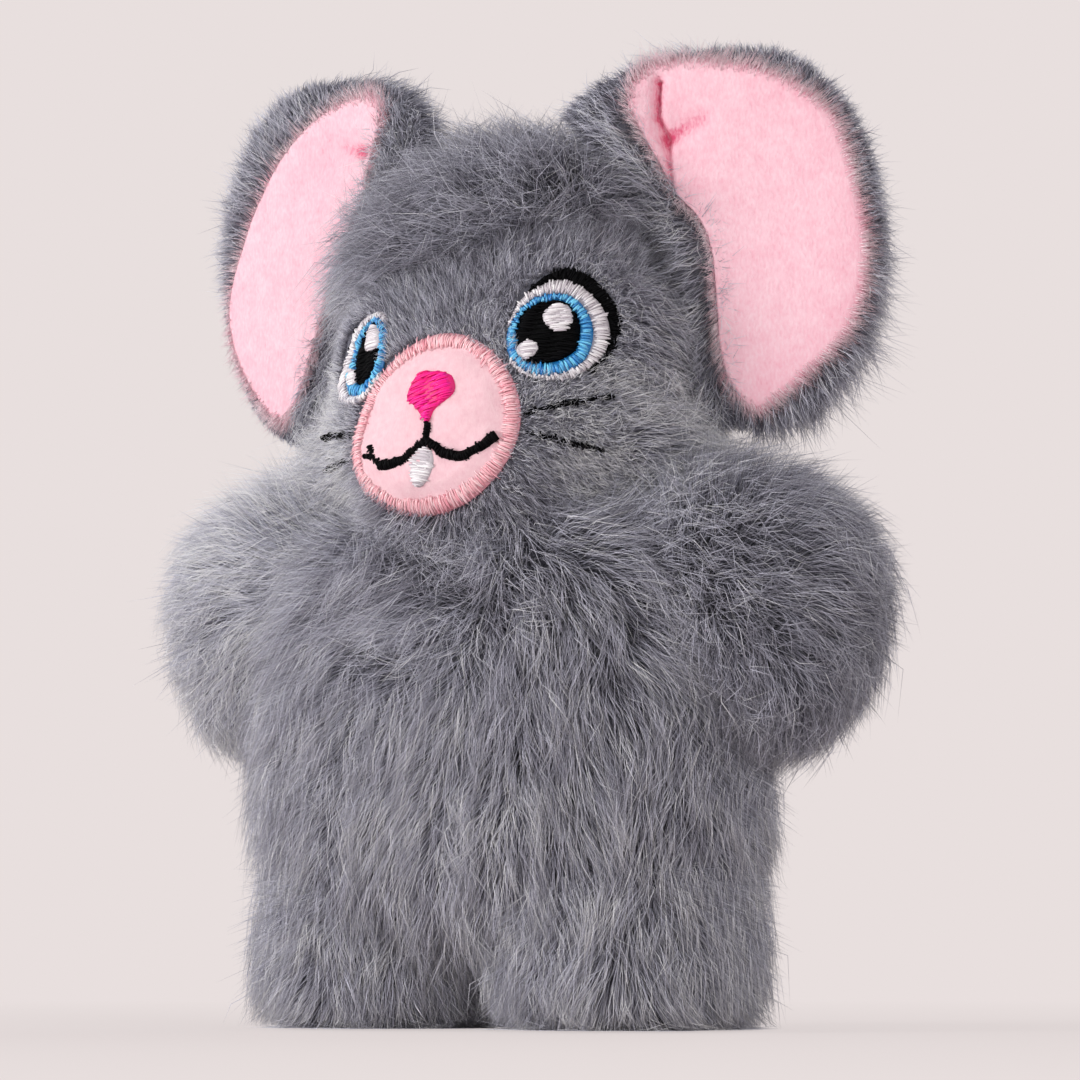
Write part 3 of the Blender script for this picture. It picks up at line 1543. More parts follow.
@dataclass
class Ear:
    """One ear: a thick plush back that curls forward at its inner edge, and a velvet lining."""

    side: Side
    outer_reach: float = 16.6
    inner_reach: float = 27.0
    half_height: float = 24.0
    half_thickness: float = 3.25
    outer_power: float = 2.0
    inner_power: float = 2.8
    cloth_margin: float = 0.9
    dish: float = 1.2
    curl: float = 5.0
    curl_from: float = -9.0
    curl_reach: float = 18.0
    lining_stands_off: float = 1.2
    lining_thickness: float = 1.15
    turn: float = 15.0
    middle: tuple[float, float, float] = (31.2, 6.6, 97.6)
    folds: tuple[float, ...] = (-25, -12.5, 0, 10, 20)
    clearance: float = 0.3
    columns: int = 84
    lining_columns: int = 180

    def __post_init__(self) -> None:
        """Works out the ear's name, its place and the space that the head takes from it."""
        sign, self.name = self.side.value, f"ear_{self.side.label}"
        self.place = Place(turned("Z", self.turn * sign), np.array(self.middle) * [sign, 1, 1])
        self.heads = [head_at_fold(fold).grown_by(self.clearance) for fold in self.folds]

    def to_toy(self, u: Points, y: Points, v: Points) -> Points:
        """Returns places on the ear, outwards, backwards and up, as points of the toy."""
        return self.place.to_toy(vectors(u * self.side.value, y, v))

    def share_at(self, u: Points, v: Points) -> Points:
        """Returns the share of the way from the ear's middle to its rim."""
        outer = u > 0
        power = np.where(outer, self.outer_power, self.inner_power)
        reach = np.where(outer, self.outer_reach, self.inner_reach)
        share = (np.abs(u / reach) ** power + np.abs(v / self.half_height) ** power) ** (1 / power)
        return np.minimum(share, 1)

    def forward_at(self, u: Points, v: Points) -> Points:
        """Returns how far forward the ear's sheet comes: a shallow dish and the curled inner edge."""
        curled = np.clip((self.curl_from - u) / self.curl_reach, 0, 1)
        return self.dish * self.share_at(u, v) ** 2 + self.curl * curled**2

    def half_thickness_at(self, u: Points, v: Points) -> Points:
        """Returns half the ear's thickness."""
        return self.half_thickness * (1 - self.share_at(u, v) ** 3) ** (1 / 3)

    def pleat_at(self, u: Points, v: Points) -> Points:
        """Returns how far the lining is drawn in by its tucks."""
        return sum(tuck.depth * tuck.share_at(u, v) for tuck in TUCKS[self.side])

    def shade_at(self, u: Points, v: Points) -> Points:
        """Returns how much deeper the lining's pink is in its tucks: 1 at most."""
        narrow = [tuck.share_at(u, v) * (1.1 if tuck.width < 2 else 0.22) for tuck in TUCKS[self.side]]
        return np.clip(np.max(narrow, axis=0), 0, 1)

    def front_at(self, u: Points, v: Points) -> Points:
        """Returns where the lining's front face lies along the ear's own Y."""
        return self.pleat_at(u, v) - self.half_thickness_at(u, v) - self.forward_at(u, v) - self.lining_stands_off

    def limit(self, outline: Points) -> Points:
        """Cuts an outline back to where the head leaves room for the ear's fold.

        Args:
            outline: Places on the ear, one for each column.

        Returns:
            The outline, drawn in towards the ear's middle where it was inside the head.
        """
        shares = np.linspace(0.02, 1, 150)
        u, v = (outline[None, :, axis] * shares[:, None] for axis in (0, 1))
        front = self.front_at(u, v)
        free = np.ones(u.shape, bool)
        mirror = np.array([self.side.value, 1, 1])
        for y in (front, front + 1.5, -self.forward_at(u, v)):
            spots = (self.to_toy(u, y, v) * mirror).reshape(-1, 3)
            for head in self.heads:
                free &= (head.distance(spots) > 0).reshape(u.shape)
        reach = shares[np.maximum(np.argmin(free, 0) - 1, 0)]
        reach = np.where(free.all(0), 1.0, reach)
        return outline * reach[:, None]

    def outline(self) -> Points:
        """Returns the outline of the back's cloth, squarer at its upper inner quarter, by column."""
        turn = np.linspace(0, 2 * math.pi, self.columns, endpoint=False)
        outer, upper = np.cos(turn) > 0, np.sin(turn) > 0
        power = np.where(~outer & upper, self.inner_power, self.outer_power)
        reach = np.where(outer, self.outer_reach, self.inner_reach) - self.cloth_margin
        height = self.half_height - self.cloth_margin
        return vectors(reach * powered(np.cos(turn), power), height * powered(np.sin(turn), power))

    def lining_outline(self) -> Points:
        """Returns the outline of the velvet that shows, whose inner edge slants in towards the ear's foot."""
        return smooth_line(LINING_EDGES[self.side], self.lining_columns, True)

    def lining_share(self, u: Points, v: Points) -> Points:
        """Returns the share of the way from the ear's middle to the lining's outline.

        Args:
            u: Places outwards on the ear.
            v: Places up it.

        Returns:
            A share for each place, above 1 outside the outline.
        """
        edge = self.lining_outline()
        turn = np.arctan2(edge[:, 1], edge[:, 0])
        order = np.argsort(turn)
        reach = np.interp(np.arctan2(v, u), turn[order], np.hypot(*edge.T)[order], period=2 * math.pi)
        return np.hypot(u, v) / reach

    def lap_at(self, u: Points, v: Points) -> Points:
        """Returns how far the grey pile laps over the lining: 1 just outside its inner edge."""
        beyond = self.lining_share(u, v)
        return smoothstep(1.32, 1.1, beyond) * smoothstep(0.0, -3.0, u) * smoothstep(20.0, 15.0, v)

    def lining(self) -> Shape:
        """Builds the lining, a thin sheet that lies on the ear's front."""
        edge = self.limit(self.lining_outline())
        shares, u, v = spokes(edge, 0.03, 44)
        front = self.front_at(u, v)
        rounding = 0.9 * np.clip((shares - 0.93) / 0.07, 0, 1) ** 2
        top = self.to_toy(u, front + rounding[:, None], v)
        sheet = slab(top, self.to_toy(u, front + self.lining_thickness, v), True, True)
        sheet.chart = self._chart(sheet.points)
        return sheet

    def _chart(self, points: Points) -> Points:
        """Returns each point's tone, and how far up the ear it is, as a place on the bake map."""
        u, v = self._uv_of(points)
        tone = 0.78 - 0.78 * self.shade_at(u, v) - 0.16 * smoothstep(0.5, 1.0, self.share_at(u, v)) * (u > 0)
        return np.stack([np.clip(tone, 0.02, 0.98), np.clip(0.5 + v / 60, 0.02, 0.98)], 1)

    def back(self) -> Shape:
        """Builds the plush back's cloth, from just behind the lining to its rear face."""
        edge = self.limit(self.outline())
        _, u, v = spokes(edge, 0.05, 24)
        forward, half = self.forward_at(u, v), self.half_thickness_at(u, v)
        front = np.maximum(self.pleat_at(u, v), 0) - half * 0.92 - forward
        rear = np.maximum(half * 0.92 - forward - 1.6, front + 0.5)
        return slab(self.to_toy(u, front, v), self.to_toy(u, rear, v), True, True)

    def flow(self, points: Points, normals: Points) -> Points:
        """Gives the way that the pile lies on the ear: out from its middle, back over the rim, and down.

        Args:
            points: Points in the toy's frame.
            normals: The outward directions there.

        Returns:
            A direction for each point.
        """
        u, v = self._uv_of(points)
        away = unit(vectors(u / self.outer_reach, 0, v / self.half_height))
        low = smoothstep(4.0, -18.0, v) * (u > 0)
        ear_flow = away + vectors(0.25 * low, 1.0, -0.3 - 0.3 * low)
        front = (normals @ self.place.turn[:, 1] < 0)[:, None]
        inner = smoothstep(-8.0, -15.0, u)[:, None] * front
        flow = ear_flow * (1 - inner) + vectors(-0.8, 0, 0.55) * inner
        lap = self.lap_at(u, v)[:, None] * front
        flow = flow * (1 - lap) + vectors(1.0, -0.3, 0.35 * np.sin(v / 2.3)) * lap
        return self._in_toy(flow)

    def _in_toy(self, directions: Points) -> Points:
        """Returns the ear's own directions, outwards, backwards and up, in the toy's frame."""
        return (directions * [self.side.value, 1, 1]) @ self.place.turn.T

    def build(self, room: Workroom) -> None:
        """Adds the ear's cloth, its lining and the pile on both."""
        name, back, lining = self.name, self.back(), self.lining()
        cloth = room.add(f"{name}_cloth", back, GREY_CLOTH, "grey_plush", name, (f"{name}_back",))
        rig.padded(cloth, fill=0.5)
        self._grey_pile(room, back)
        sheet = room.add(f"{name}_velvet_cloth", lining, PINK_CLOTH, "pink_lining", name, (f"{name}_lining",))
        velvet = self._velvet(room, lining)
        area = sum(polygon.area for polygon in sheet.data.polygons) / 2
        flat = tuple(float(reach) for reach in np.ptp(self.lining_outline() * MM, axis=0))
        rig.sheet(sheet, flat=flat, held="stretched", rests_on=[cloth.name], area=min(area, flat[0] * flat[1]),
                 with_pieces=[velvet])

    def _uv_of(self, points: Points) -> tuple[Points, Points]:
        """Returns the places on the ear that points of the toy lie at."""
        own = self.place.to_part(points)
        return own[:, 0] * self.side.value, own[:, 2]

    def _grey_pile(self, room: Workroom, back: Shape) -> None:
        """Adds the grey pile on the back, the rim and the folded inner edge.

        Args:
            room: The room that it goes into.
            back: The back's cloth, which it grows on.
        """
        piles = (
            (Layer.UNDERCOAT, Pile(5.0, 3.4, 0.16, 48, 30, 10, 0.07, 1, 0.4, 0.1, 0.2), GREY_UNDERCOAT),
            (Layer.GUARD, Pile(6.6, 4.9, 0.2, 50, 26, 10, 0.05, 2, 0.5, 0.1, 0.2), GREY_GUARD),
        )
        for offset, (layer, pile, finish) in enumerate(piles):
            seed = 500 + self.side.value + 10 * offset
            roots = scattered(back, pile.density, np.random.default_rng(seed))
            u, v = self._uv_of(roots.points)
            facing = roots.normals @ self.place.turn[:, 1] < 0.2
            keep = ~((self.lining_share(u, v) < 0.97) & facing) & (HEAD.distance(roots.points) > -0.5)
            roots, u, v, facing = roots.kept(keep), u[keep], v[keep], facing[keep]
            share = self.share_at(u, v)
            rim = smoothstep(0.7, 1.0, share) * facing
            turned_over = smoothstep(0.75, 1.0, share) * ~facing * (u > -6)
            low = smoothstep(8, -12, v) * (u > 0) * (0.8 if self.side is Side.LEFT else -0.5)
            lap = self.lap_at(u, v) * facing
            for factor in (1 - 0.68 * rim, 1 - 0.55 * turned_over, 1 + low, 1 - 0.2 * lap):
                roots.reach *= factor
            roots.tone -= 0.2 * rim
            roots.lift -= 12 * lap
            fibres = Fibres(pile, self.flow, None, seed + 3)
            room.add(f"{self.name}_{layer.value}", fibres.grown(roots), finish, "grey_plush", self.name)

    def _velvet(self, room: Workroom, lining: Shape) -> bpy.types.Object:
        """Adds the pink pile that shows at the lining's rim, where the velvet turns over.

        Args:
            room: The room that it goes into.
            lining: The lining's sheet, which it grows on.

        Returns:
            The pile's object.
        """
        pile = Pile(28.0, 1.9, 0.3, 44, 20, 12, 0.042, 1, 0.5, 0.12, 0.35, 0.8, 0.16, 0.05)
        roots = scattered(lining, pile.density, np.random.default_rng(700 + self.side.value))
        roots = roots.kept(roots.normals @ self.place.turn[:, 1] < 0.35)
        rim = smoothstep(0.9, 1.0, self.lining_share(*self._uv_of(roots.points)))
        roots = roots.kept(rim > np.random.default_rng(705).random(len(rim)))

        def flow(points: Points, _normals: Points) -> Points:
            """Gives the way that the rim's pile lies: outwards, and up or down away from the middle."""
            across, up = self._uv_of(points)
            return self._in_toy(vectors(0.9 + across / 20, 0, up / 18))

        fibres = Fibres(pile, flow, None, 710 + self.side.value)
        return room.add(f"{self.name}_velvet", fibres.grown(roots), PINK_VELVET, "pink_lining", self.name)


Outline = Points


def smooth_line(knots: Knots, count: int, closed: bool) -> Outline:
    """Returns points on a smooth curve through knots.

    Args:
        knots: The knots, in order.
        count: How many points it has.
        closed: Whether it comes back to its first knot.

    Returns:
        The points, evenly spread between the knots.
    """
    places = np.array(knots, float)
    around = len(places) if closed else len(places) - 1
    found = []
    for share in np.linspace(0, around, count, endpoint=not closed):
        start = min(int(share), around - 1)
        t = share - start
        near = start + np.arange(-1, 3)
        a, b, c, d = places[near % len(places) if closed else np.clip(near, 0, len(places) - 1)]
        found.append(0.5 * (2 * b + (c - a) * t + (2 * a - 5 * b + 4 * c - d) * t**2 + (3 * b - a - 3 * c + d) * t**3))
    return np.array(found)


def spokes(edge: Outline, first: float, count: int) -> tuple[Points, Points, Points]:
    """Returns the places on lines from an outline's middle out to it.

    Args:
        edge: The outline, about its middle.
        first: How far out the first places are, as a share of the way.
        count: How many places there are on a line, besides the middle.

    Returns:
        The shares of the way out, and the places across and up by share and by line.
    """
    shares = np.append(0, np.linspace(first, 1, count))
    return (shares, *(edge[None, :, axis] * shares[:, None] for axis in (0, 1)))


def rails(line: Outline, width: float) -> tuple[Outline, Outline]:
    """Returns the two edges of a line of stitches.

    Args:
        line: Places along its middle.
        width: How wide it is.

    Returns:
        The places along both edges.
    """
    way = unit(np.gradient(line, axis=0))
    aside = vectors(-way[:, 1], way[:, 0]) * width / 2
    return line + aside, line - aside


@dataclass
class Embroidery:
    """Satin stitches on a patch of the face, over a low pad of the same thread."""

    surface: Surface
    lift: float = 0.3
    rise: float = 0.55
    radius: float = 0.15
    pitch: float = 0.28
    ragged: float = 0.16
    seed: int = 1
    tone_spread: float = 0.32

    def __post_init__(self) -> None:
        """Starts the draw that makes the stitches uneven."""
        self.random = np.random.default_rng(self.seed)

    def points(self, places: Points, lift: float | Points) -> Points:
        """Returns places on the patch, at a height over it, as points of the toy."""
        lifts = np.broadcast_to(lift, places.shape[:-1])
        return self.surface(places[..., 0], places[..., 1], lifts)

    def pad(self, rows: Points, heights: Points, around: bool, filled: bool) -> Shape:
        """Builds the pad that the stitches lie on.

        Args:
            rows: Places by row and column.
            heights: Height of each row.
            around: Whether the rows close on themselves.
            filled: Whether the first row is one place repeated.

        Returns:
            The pad, with the chart of a plain stitch.
        """
        tops = self.points(rows, self.lift + heights[:, None])
        shape = slab(tops, self.points(rows, self.lift - 0.25), around, filled)
        spots = np.linspace(0, 1, len(shape.points))
        shape.chart = np.stack([0.06 + 0.1 * spots, 0.06 + 0.06 * np.abs(np.sin(57 * spots))], 1)
        return shape

    def stitches(self, starts: Points, ends: Points) -> Shape:
        """Lays a stitch from each start to its end.

        Args:
            starts: Places where the needle comes up.
            ends: Places where it goes down.

        Returns:
            The stitches, each a round thread that arches over the pad.
        """
        count, sides = len(starts), STITCH_SIDES
        way = unit(ends - starts)
        starts = starts - way * self.random.normal(0, self.ragged, (count, 1))
        ends = ends + way * self.random.normal(0, self.ragged, (count, 1))
        shares = np.linspace(0, 1, STITCH_RINGS + 2)
        arch = np.sin(math.pi * shares) ** 0.35
        lifts = self.lift - 0.3 + (self.rise + 0.3) * arch[None, :] * self.random.uniform(0.86, 1.1, (count, 1))
        places = starts[:, None] + (ends - starts)[:, None] * shares[None, :, None]
        lines = self.points(places, lifts)
        up = unit(self.points(places, lifts + 0.2) - lines)
        along = unit(np.gradient(lines, axis=1))
        side = unit(np.cross(along, up))
        up = np.cross(side, along)
        thick = self.radius * (0.55 + 0.45 * arch[1:-1])[None, :] * self.random.uniform(0.85, 1.15, (count, 1))
        side, up, thick = side[:, 1:-1], up[:, 1:-1] * 0.8, thick[..., None]
        turns = [2 * math.pi * corner / sides for corner in range(sides)]
        rings = [lines[:, 1:-1] + (side * math.cos(turn) + up * math.sin(turn)) * thick for turn in turns]
        body = np.stack(rings, 2).reshape(count, -1, 3)
        points = np.concatenate([body, lines[:, :1], lines[:, -1:]], 1)
        tone = np.clip(self.random.normal(0.5, self.tone_spread, count), *TONE_RANGE)
        spread = np.tile(np.linspace(-CHART_GAP, CHART_GAP, sides), STITCH_RINGS)
        u = np.concatenate([tone[:, None] + spread, tone[:, None], tone[:, None]], 1)
        v = np.append(np.repeat(shares[1:-1], sides), [CHART_GAP, 1 - CHART_GAP])
        foot = [[(corner + 1) % sides, corner, points.shape[1] - 2] for corner in range(sides)]
        return outwards(stranded(points, vectors(u, v), sides, foot))

    def band(self, inner: Outline, outer: Outline, around: bool = True) -> Shape:
        """Fills a band between two rails with stitches straight across it.

        Args:
            inner: Places along the inner rail.
            outer: Places along the outer rail.
            around: Whether the band closes on itself.

        Returns:
            The band's pad and stitches.
        """
        middle = (inner + outer) / 2
        closed = np.concatenate([middle, middle[:1]]) if around else middle
        steps = np.linalg.norm(np.diff(closed, axis=0), axis=1)
        reach = np.concatenate([[0], np.cumsum(steps)])
        count = int(reach[-1] / self.pitch)
        spots = (np.arange(count) + self.random.uniform(-0.25, 0.25, count)) * reach[-1] / count

        def at(rail: Outline) -> Points:
            """Returns the places on a rail where the needle goes through."""
            full = np.concatenate([rail, rail[:1]]) if around else rail
            where = np.clip(spots + self.random.normal(0, 0.05, count), 0, reach[-1])
            return np.stack([np.interp(where, reach, full[:, axis]) for axis in (0, 1)], 1)

        rows = np.stack([inner, inner + (outer - inner) * 0.25, middle, inner + (outer - inner) * 0.75, outer])
        heights = self.rise * np.array([0.1, 0.4, 0.5, 0.4, 0.1])
        return Shape.joined([self.pad(rows, heights, around, False), self.stitches(at(inner), at(outer))])

    def fill(self, outline: Outline, tilt: float = 0.0, longest: float = 3.4) -> Shape:
        """Fills an outline with rows of stitches.

        Args:
            outline: The outline's places.
            tilt: The rows' slope, in degrees.
            longest: The longest stitch; wider rows are laid as several.

        Returns:
            The outline's pad and stitches.
        """
        angle = math.radians(tilt)
        turn = np.array([[math.cos(angle), -math.sin(angle)], [math.sin(angle), math.cos(angle)]])
        level = outline @ turn
        after = np.roll(level, -1, axis=0)
        starts, ends = [], []
        rows = np.arange(level[:, 1].min() + self.pitch / 2, level[:, 1].max(), self.pitch)
        for number, v in enumerate(rows):
            v += self.random.normal(0, 0.03)
            crossing = (level[:, 1] - v) * (after[:, 1] - v) < 0
            if crossing.sum() < 2:
                continue
            a, b = level[crossing], after[crossing]
            u = a[:, 0] + (v - a[:, 1]) / (b[:, 1] - a[:, 1]) * (b[:, 0] - a[:, 0])
            low, high = u.min(), u.max()
            parts = max(1, math.ceil((high - low) / longest))
            cuts = np.linspace(low, high, parts + 1)
            cuts[1:-1] += (number % 3 - 1) * 0.6
            for first, second in zip(cuts, cuts[1:]):
                starts.append([first, v])
                ends.append([second, v])
        middle = outline.mean(0)
        shares = np.array([0, 0.5, 0.85, 1])
        pad_rows = middle + (outline - middle)[None] * shares[:, None, None]
        heights = self.rise * np.array([0.65, 0.65, 0.5, 0.1])
        stitches = self.stitches(np.array(starts) @ turn.T, np.array(ends) @ turn.T)
        return Shape.joined([self.pad(pad_rows, heights, True, True), stitches])


NOSE = [
    (-1.1, 5.9), (1.4, 6.0), (3.2, 5.5), (3.8, 4.2), (3.7, 3.1), (2.7, 2.1), (1.0, 1.1), (0.1, -0.2), (-0.8, 0.7),
    (-1.8, 1.7), (-2.9, 2.9), (-2.3, 4.7),
]
TOOTH = [
    (-1.4, -3.4), (-0.5, -3.3), (0.6, -3.8), (0.6, -5.4), (-0.2, -6.7), (-1.4, -7.7), (-2.4, -7.8), (-3.0, -6.8),
    (-3.1, -5.5), (-2.5, -4.2),
]
MOUTH = (
    ([(-8.6, -2.0), (-8.4, -3.0), (-7.7, -4.1), (-6.6, -4.7), (-5.0, -4.6), (-3.5, -4.4), (-2.3, -3.8), (-1.2, -3.1),
      (-0.3, -2.5)], 60, 1.2),
    ([(-0.3, -2.5), (0.8, -3.3), (1.9, -4.2), (3.2, -4.7), (4.5, -4.9), (5.9, -4.5), (7.2, -3.9), (8.2, -3.2),
      (9.0, -2.7)], 60, 1.2),
    ([(0.0, -0.3), (-0.1, -1.3), (-0.3, -2.6)], 14, 0.9),
    ([(-8.0, -3.6), (-9.0, -3.3), (-9.9, -3.1)], 8, 0.5),
)


@dataclass
class Muzzle:
    """The felt patch and what is stitched round it and on it."""

    half_width: float = 11.9
    half_height: float = 11.0
    taper: float = 0.14
    lean: float = 0.15
    border: float = 1.9
    felt_lift: float = 0.95
    tucked_under: float = 1.0
    overlap: float = 0.1
    features_at: float = -0.7

    def build(self, room: Workroom) -> None:
        """Adds the muzzle's pieces."""
        surface = MUZZLE.surface()
        piece = room.add("muzzle_felt", self._felt(surface), PINK_FELT, "pink_felt", stands_for=("muzzle_patch",))
        flat = tuple(2 * (half - self.tucked_under) * MM for half in (self.half_width, self.half_height))
        area = sum(polygon.area for polygon in piece.data.polygons) / 2
        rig.sheet(piece, flat=flat, held="laid", rests_on=["head_front_cloth"], area=min(area, flat[0] * flat[1]))
        band = Embroidery(surface, 0.35, 0.6, 0.088, 0.142, 0.26, 31, 0.24)
        border = band.band(self._outline(self.border + self.overlap, 160), self._outline(self.overlap, 160))
        self._stitched(room, "muzzle_border", border, PINK_THREAD, "pink_thread")
        self._features(room, face_surface(self.features_at, MUZZLE.up, 0))

    def _outline(self, margin: float, count: int) -> Outline:
        """Returns the muzzle's outline: an egg, narrower at its top, that leans to its right.

        Args:
            margin: How far it is drawn in.
            count: How many points it has.

        Returns:
            Places on the patch, anticlockwise from its right.
        """
        turn = np.linspace(0, 2 * math.pi, count, endpoint=False)
        half_width, half_height = self.half_width - margin, self.half_height - margin
        u = half_width * np.cos(turn) * (1 - self.taper * np.sin(turn)) + self.lean * half_height * np.sin(turn)
        return vectors(u, half_height * np.sin(turn))

    @staticmethod
    def _stitched(room: Workroom, node: str, shape: Shape, finish: ThreadFinish, slot: str) -> None:
        """Adds one stitched piece in its node's place."""
        room.add(node.replace("_stitching", "") + "_thread", shape, finish, slot, stands_for=(node,))

    def _felt(self, surface: Surface) -> Shape:
        """Builds the felt patch, crowned a little and tucked under its border."""
        edge = self._outline(self.tucked_under, 120)
        shares, u, v = spokes(edge, 0.05, 24)
        lifts = self.felt_lift + 0.3 - 0.75 * smoothstep(0.72, 1.0, shares)
        lumps = 0.12 * Drift(6.0, 81).at(vectors(u, v, 0))[..., 0]
        return slab(surface(u, v, lifts[:, None] + lumps), surface(u, v, np.full(u.shape, -self.overlap)), True, True)

    def _features(self, room: Workroom, face: Surface) -> None:
        """Adds the nose, point down, the mouth, a bow with a stem up to the nose, and the tooth.

        Args:
            room: The room that they go into.
            face: The face about the line that they stand on.
        """
        nose = Embroidery(face, 1.2, 0.6, 0.13, 0.22, 0.2, 32).fill(smooth_line(NOSE, 90, True), 12, 4.2)
        self._stitched(room, "nose_stitching", nose, MAGENTA_THREAD, "magenta_thread")
        work = Embroidery(face, 1.15, 0.45, 0.13, 0.2, 0.14, 33)
        lines = [rails(smooth_line(knots, count, False), width) for knots, count, width in MOUTH]
        mouth = Shape.joined([work.band(*line, around=False) for line in lines])
        self._stitched(room, "mouth_stitching", mouth, BLACK_THREAD, "black_thread")
        tooth = Embroidery(face, 1.2, 0.4, 0.12, 0.2, 0.3, 34).fill(smooth_line(TOOTH, 70, True), -14)
        self._stitched(room, "tooth_stitching", tooth, WHITE_THREAD, "white_thread")


@dataclass(frozen=True)
class EyeDrawing:
    """An eye's stitched outlines, as places on its patch of the face, about a middle in its pupil."""

    middle: tuple[float, float]
    white: Knots
    white_arc: tuple[float, float]
    iris: Knots
    pupil: Knots
    large_glint: Knots
    small_glint: Knots
    lid: Knots
    lid_arc: tuple[float, float]

    def rail(self, knots: Knots, degrees: Points) -> Outline:
        """Returns places on the outline through knots.

        Args:
            knots: The outline's knots.
            degrees: The angle at which each place is seen from the eye's middle.

        Returns:
            One place for each angle.
        """
        line = smooth_line(knots, 240, True) - self.middle
        turn = np.degrees(np.arctan2(line[:, 1], line[:, 0]))
        order = np.argsort(turn)
        reach = np.interp(degrees, turn[order], np.hypot(*line.T)[order], period=360)
        way = vectors(np.cos(np.radians(degrees)), np.sin(np.radians(degrees)))
        return way * reach[:, None] + self.middle

    def parted(self, inner: Knots, outer: Knots, arc: tuple[float, float], least: float) -> tuple[Outline, Outline]:
        """Returns the two rails of a band over an arc.

        Args:
            inner: Knots of the inner outline.
            outer: Knots of the outer outline.
            arc: The angles, seen from the eye's middle, between which the band runs.
            least: The least width of the band.

        Returns:
            The inner and the outer rail.
        """
        degrees = np.linspace(*arc, 130)
        low, high = self.rail(inner, degrees), self.rail(outer, degrees)
        out = unit(low - self.middle)
        short = least - np.sum((high - low) * out, axis=1)
        return low, high + out * np.maximum(short, 0)[:, None]


EYE_DRAWINGS = {
    Side.LEFT: EyeDrawing(
        (-0.9, -0.6),
        [(-5.8, 1.4), (-5.3, 2.6), (-4.6, 3.6), (-3.3, 4.7), (-2.0, 5.4), (0.4, 6.1), (2.5, 5.7), (4.2, 4.5),
         (5.4, 3.1), (6.2, 1.3), (6.5, -0.8), (6.0, -2.7), (5.1, -4.3), (3.7, -5.4), (1.9, -6.3), (0.1, -6.5),
         (-1.9, -6.3), (-3.9, -5.7), (-5.5, -4.6), (-6.5, -2.9), (-6.5, -0.7)],
        (-148, 168),
        [(-5.8, 0.9), (-6.4, -0.7), (-6.3, -2.6), (-5.4, -4.1), (-3.9, -5.3), (-1.9, -6.0), (0.2, -5.9), (1.9, -5.4),
         (3.4, -4.4), (4.3, -2.8), (4.7, -0.7), (4.4, 1.2), (3.5, 2.8), (2.2, 3.9), (0.4, 4.3), (-1.2, 4.2),
         (-2.6, 3.9), (-4.2, 2.9), (-4.9, 2.1)],
        [(-4.8, 1.1), (-4.1, 2.2), (-2.8, 3.0), (-1.2, 3.3), (0.4, 3.5), (1.7, 3.0), (2.7, 1.9), (3.2, 0.3),
         (3.1, -1.6), (2.6, -2.9), (1.4, -3.8), (0.1, -4.3), (-1.8, -4.5), (-3.6, -4.2), (-4.5, -3.4), (-5.0, -2.1),
         (-5.1, -0.2)],
        [(-1.4, 1.9), (-0.4, 2.8), (0.7, 3.1), (1.7, 2.7), (2.3, 1.5), (2.2, 0.2), (1.6, -0.4), (0.1, -0.5),
         (-0.8, 0.0), (-1.4, 0.9)],
        [(-5.1, -2.7), (-4.5, -1.9), (-3.4, -1.5), (-2.3, -2.0), (-2.1, -2.8), (-2.8, -3.6), (-3.6, -3.9),
         (-4.5, -3.6)],
        [(-3.7, 4.6), (-2.6, 5.7), (-1.3, 6.7), (0.5, 7.4), (2.0, 7.8), (3.6, 7.1), (5.0, 6.0), (6.0, 4.9),
         (6.7, 3.7), (7.4, 2.2), (7.6, 1.0), (7.5, -0.7), (7.2, -2.0), (6.4, -3.3), (5.4, -4.4), (4.3, -5.6),
         (0.0, -5.0), (-4.0, -3.0), (-5.0, 2.0)],
        (-43, 116),
    ),
    Side.RIGHT: EyeDrawing(
        (5.0, -0.6),
        [(6.3, 4.8), (4.9, 4.4), (3.0, 3.6), (1.7, 2.4), (0.9, 0.9), (0.1, -0.9), (-1.0, -2.6), (-1.6, -3.8),
         (-0.9, -5.1), (0.6, -6.2), (2.5, -6.4), (4.8, -6.0), (6.2, -5.2), (7.4, -4.4), (8.3, -3.0), (8.7, -1.1),
         (8.8, 0.8), (8.8, 2.1), (8.6, 3.5), (7.8, 4.6)],
        (50, 318),
        [(7.2, 4.0), (5.6, 3.6), (3.9, 2.9), (2.9, 1.8), (2.5, 0.5), (2.0, -0.7), (1.3, -1.8), (0.8, -2.8),
         (0.8, -4.0), (1.6, -5.1), (3.1, -5.6), (4.8, -5.4), (6.0, -4.6), (7.2, -3.7), (7.9, -2.7), (8.3, -1.1),
         (8.5, 0.8), (8.4, 2.6)],
        [(6.8, 3.3), (5.2, 2.9), (4.4, 2.0), (3.7, 1.0), (3.0, -0.2), (2.7, -1.4), (2.6, -2.8), (3.2, -4.0),
         (4.8, -4.2), (6.0, -3.4), (6.9, -2.2), (7.5, -1.0), (7.8, 0.3), (7.7, 1.8)],
        [(5.8, 2.7), (6.7, 3.0), (7.8, 2.2), (7.8, 0.4), (7.0, -0.2), (5.1, 0.0), (5.1, 1.4)],
        [(1.6, -2.0), (2.9, -2.1), (3.2, -3.0), (3.0, -3.9), (1.8, -3.9), (1.1, -3.1)],
        [(5.2, 4.6), (3.0, 3.7), (1.8, 2.6), (1.0, 1.0), (0.1, -0.8), (-0.9, -2.6), (-1.5, -3.8), (-0.9, -5.2),
         (3.0, -5.0), (8.0, -2.0), (8.0, 3.0)],
        (118, 206),
    ),
}


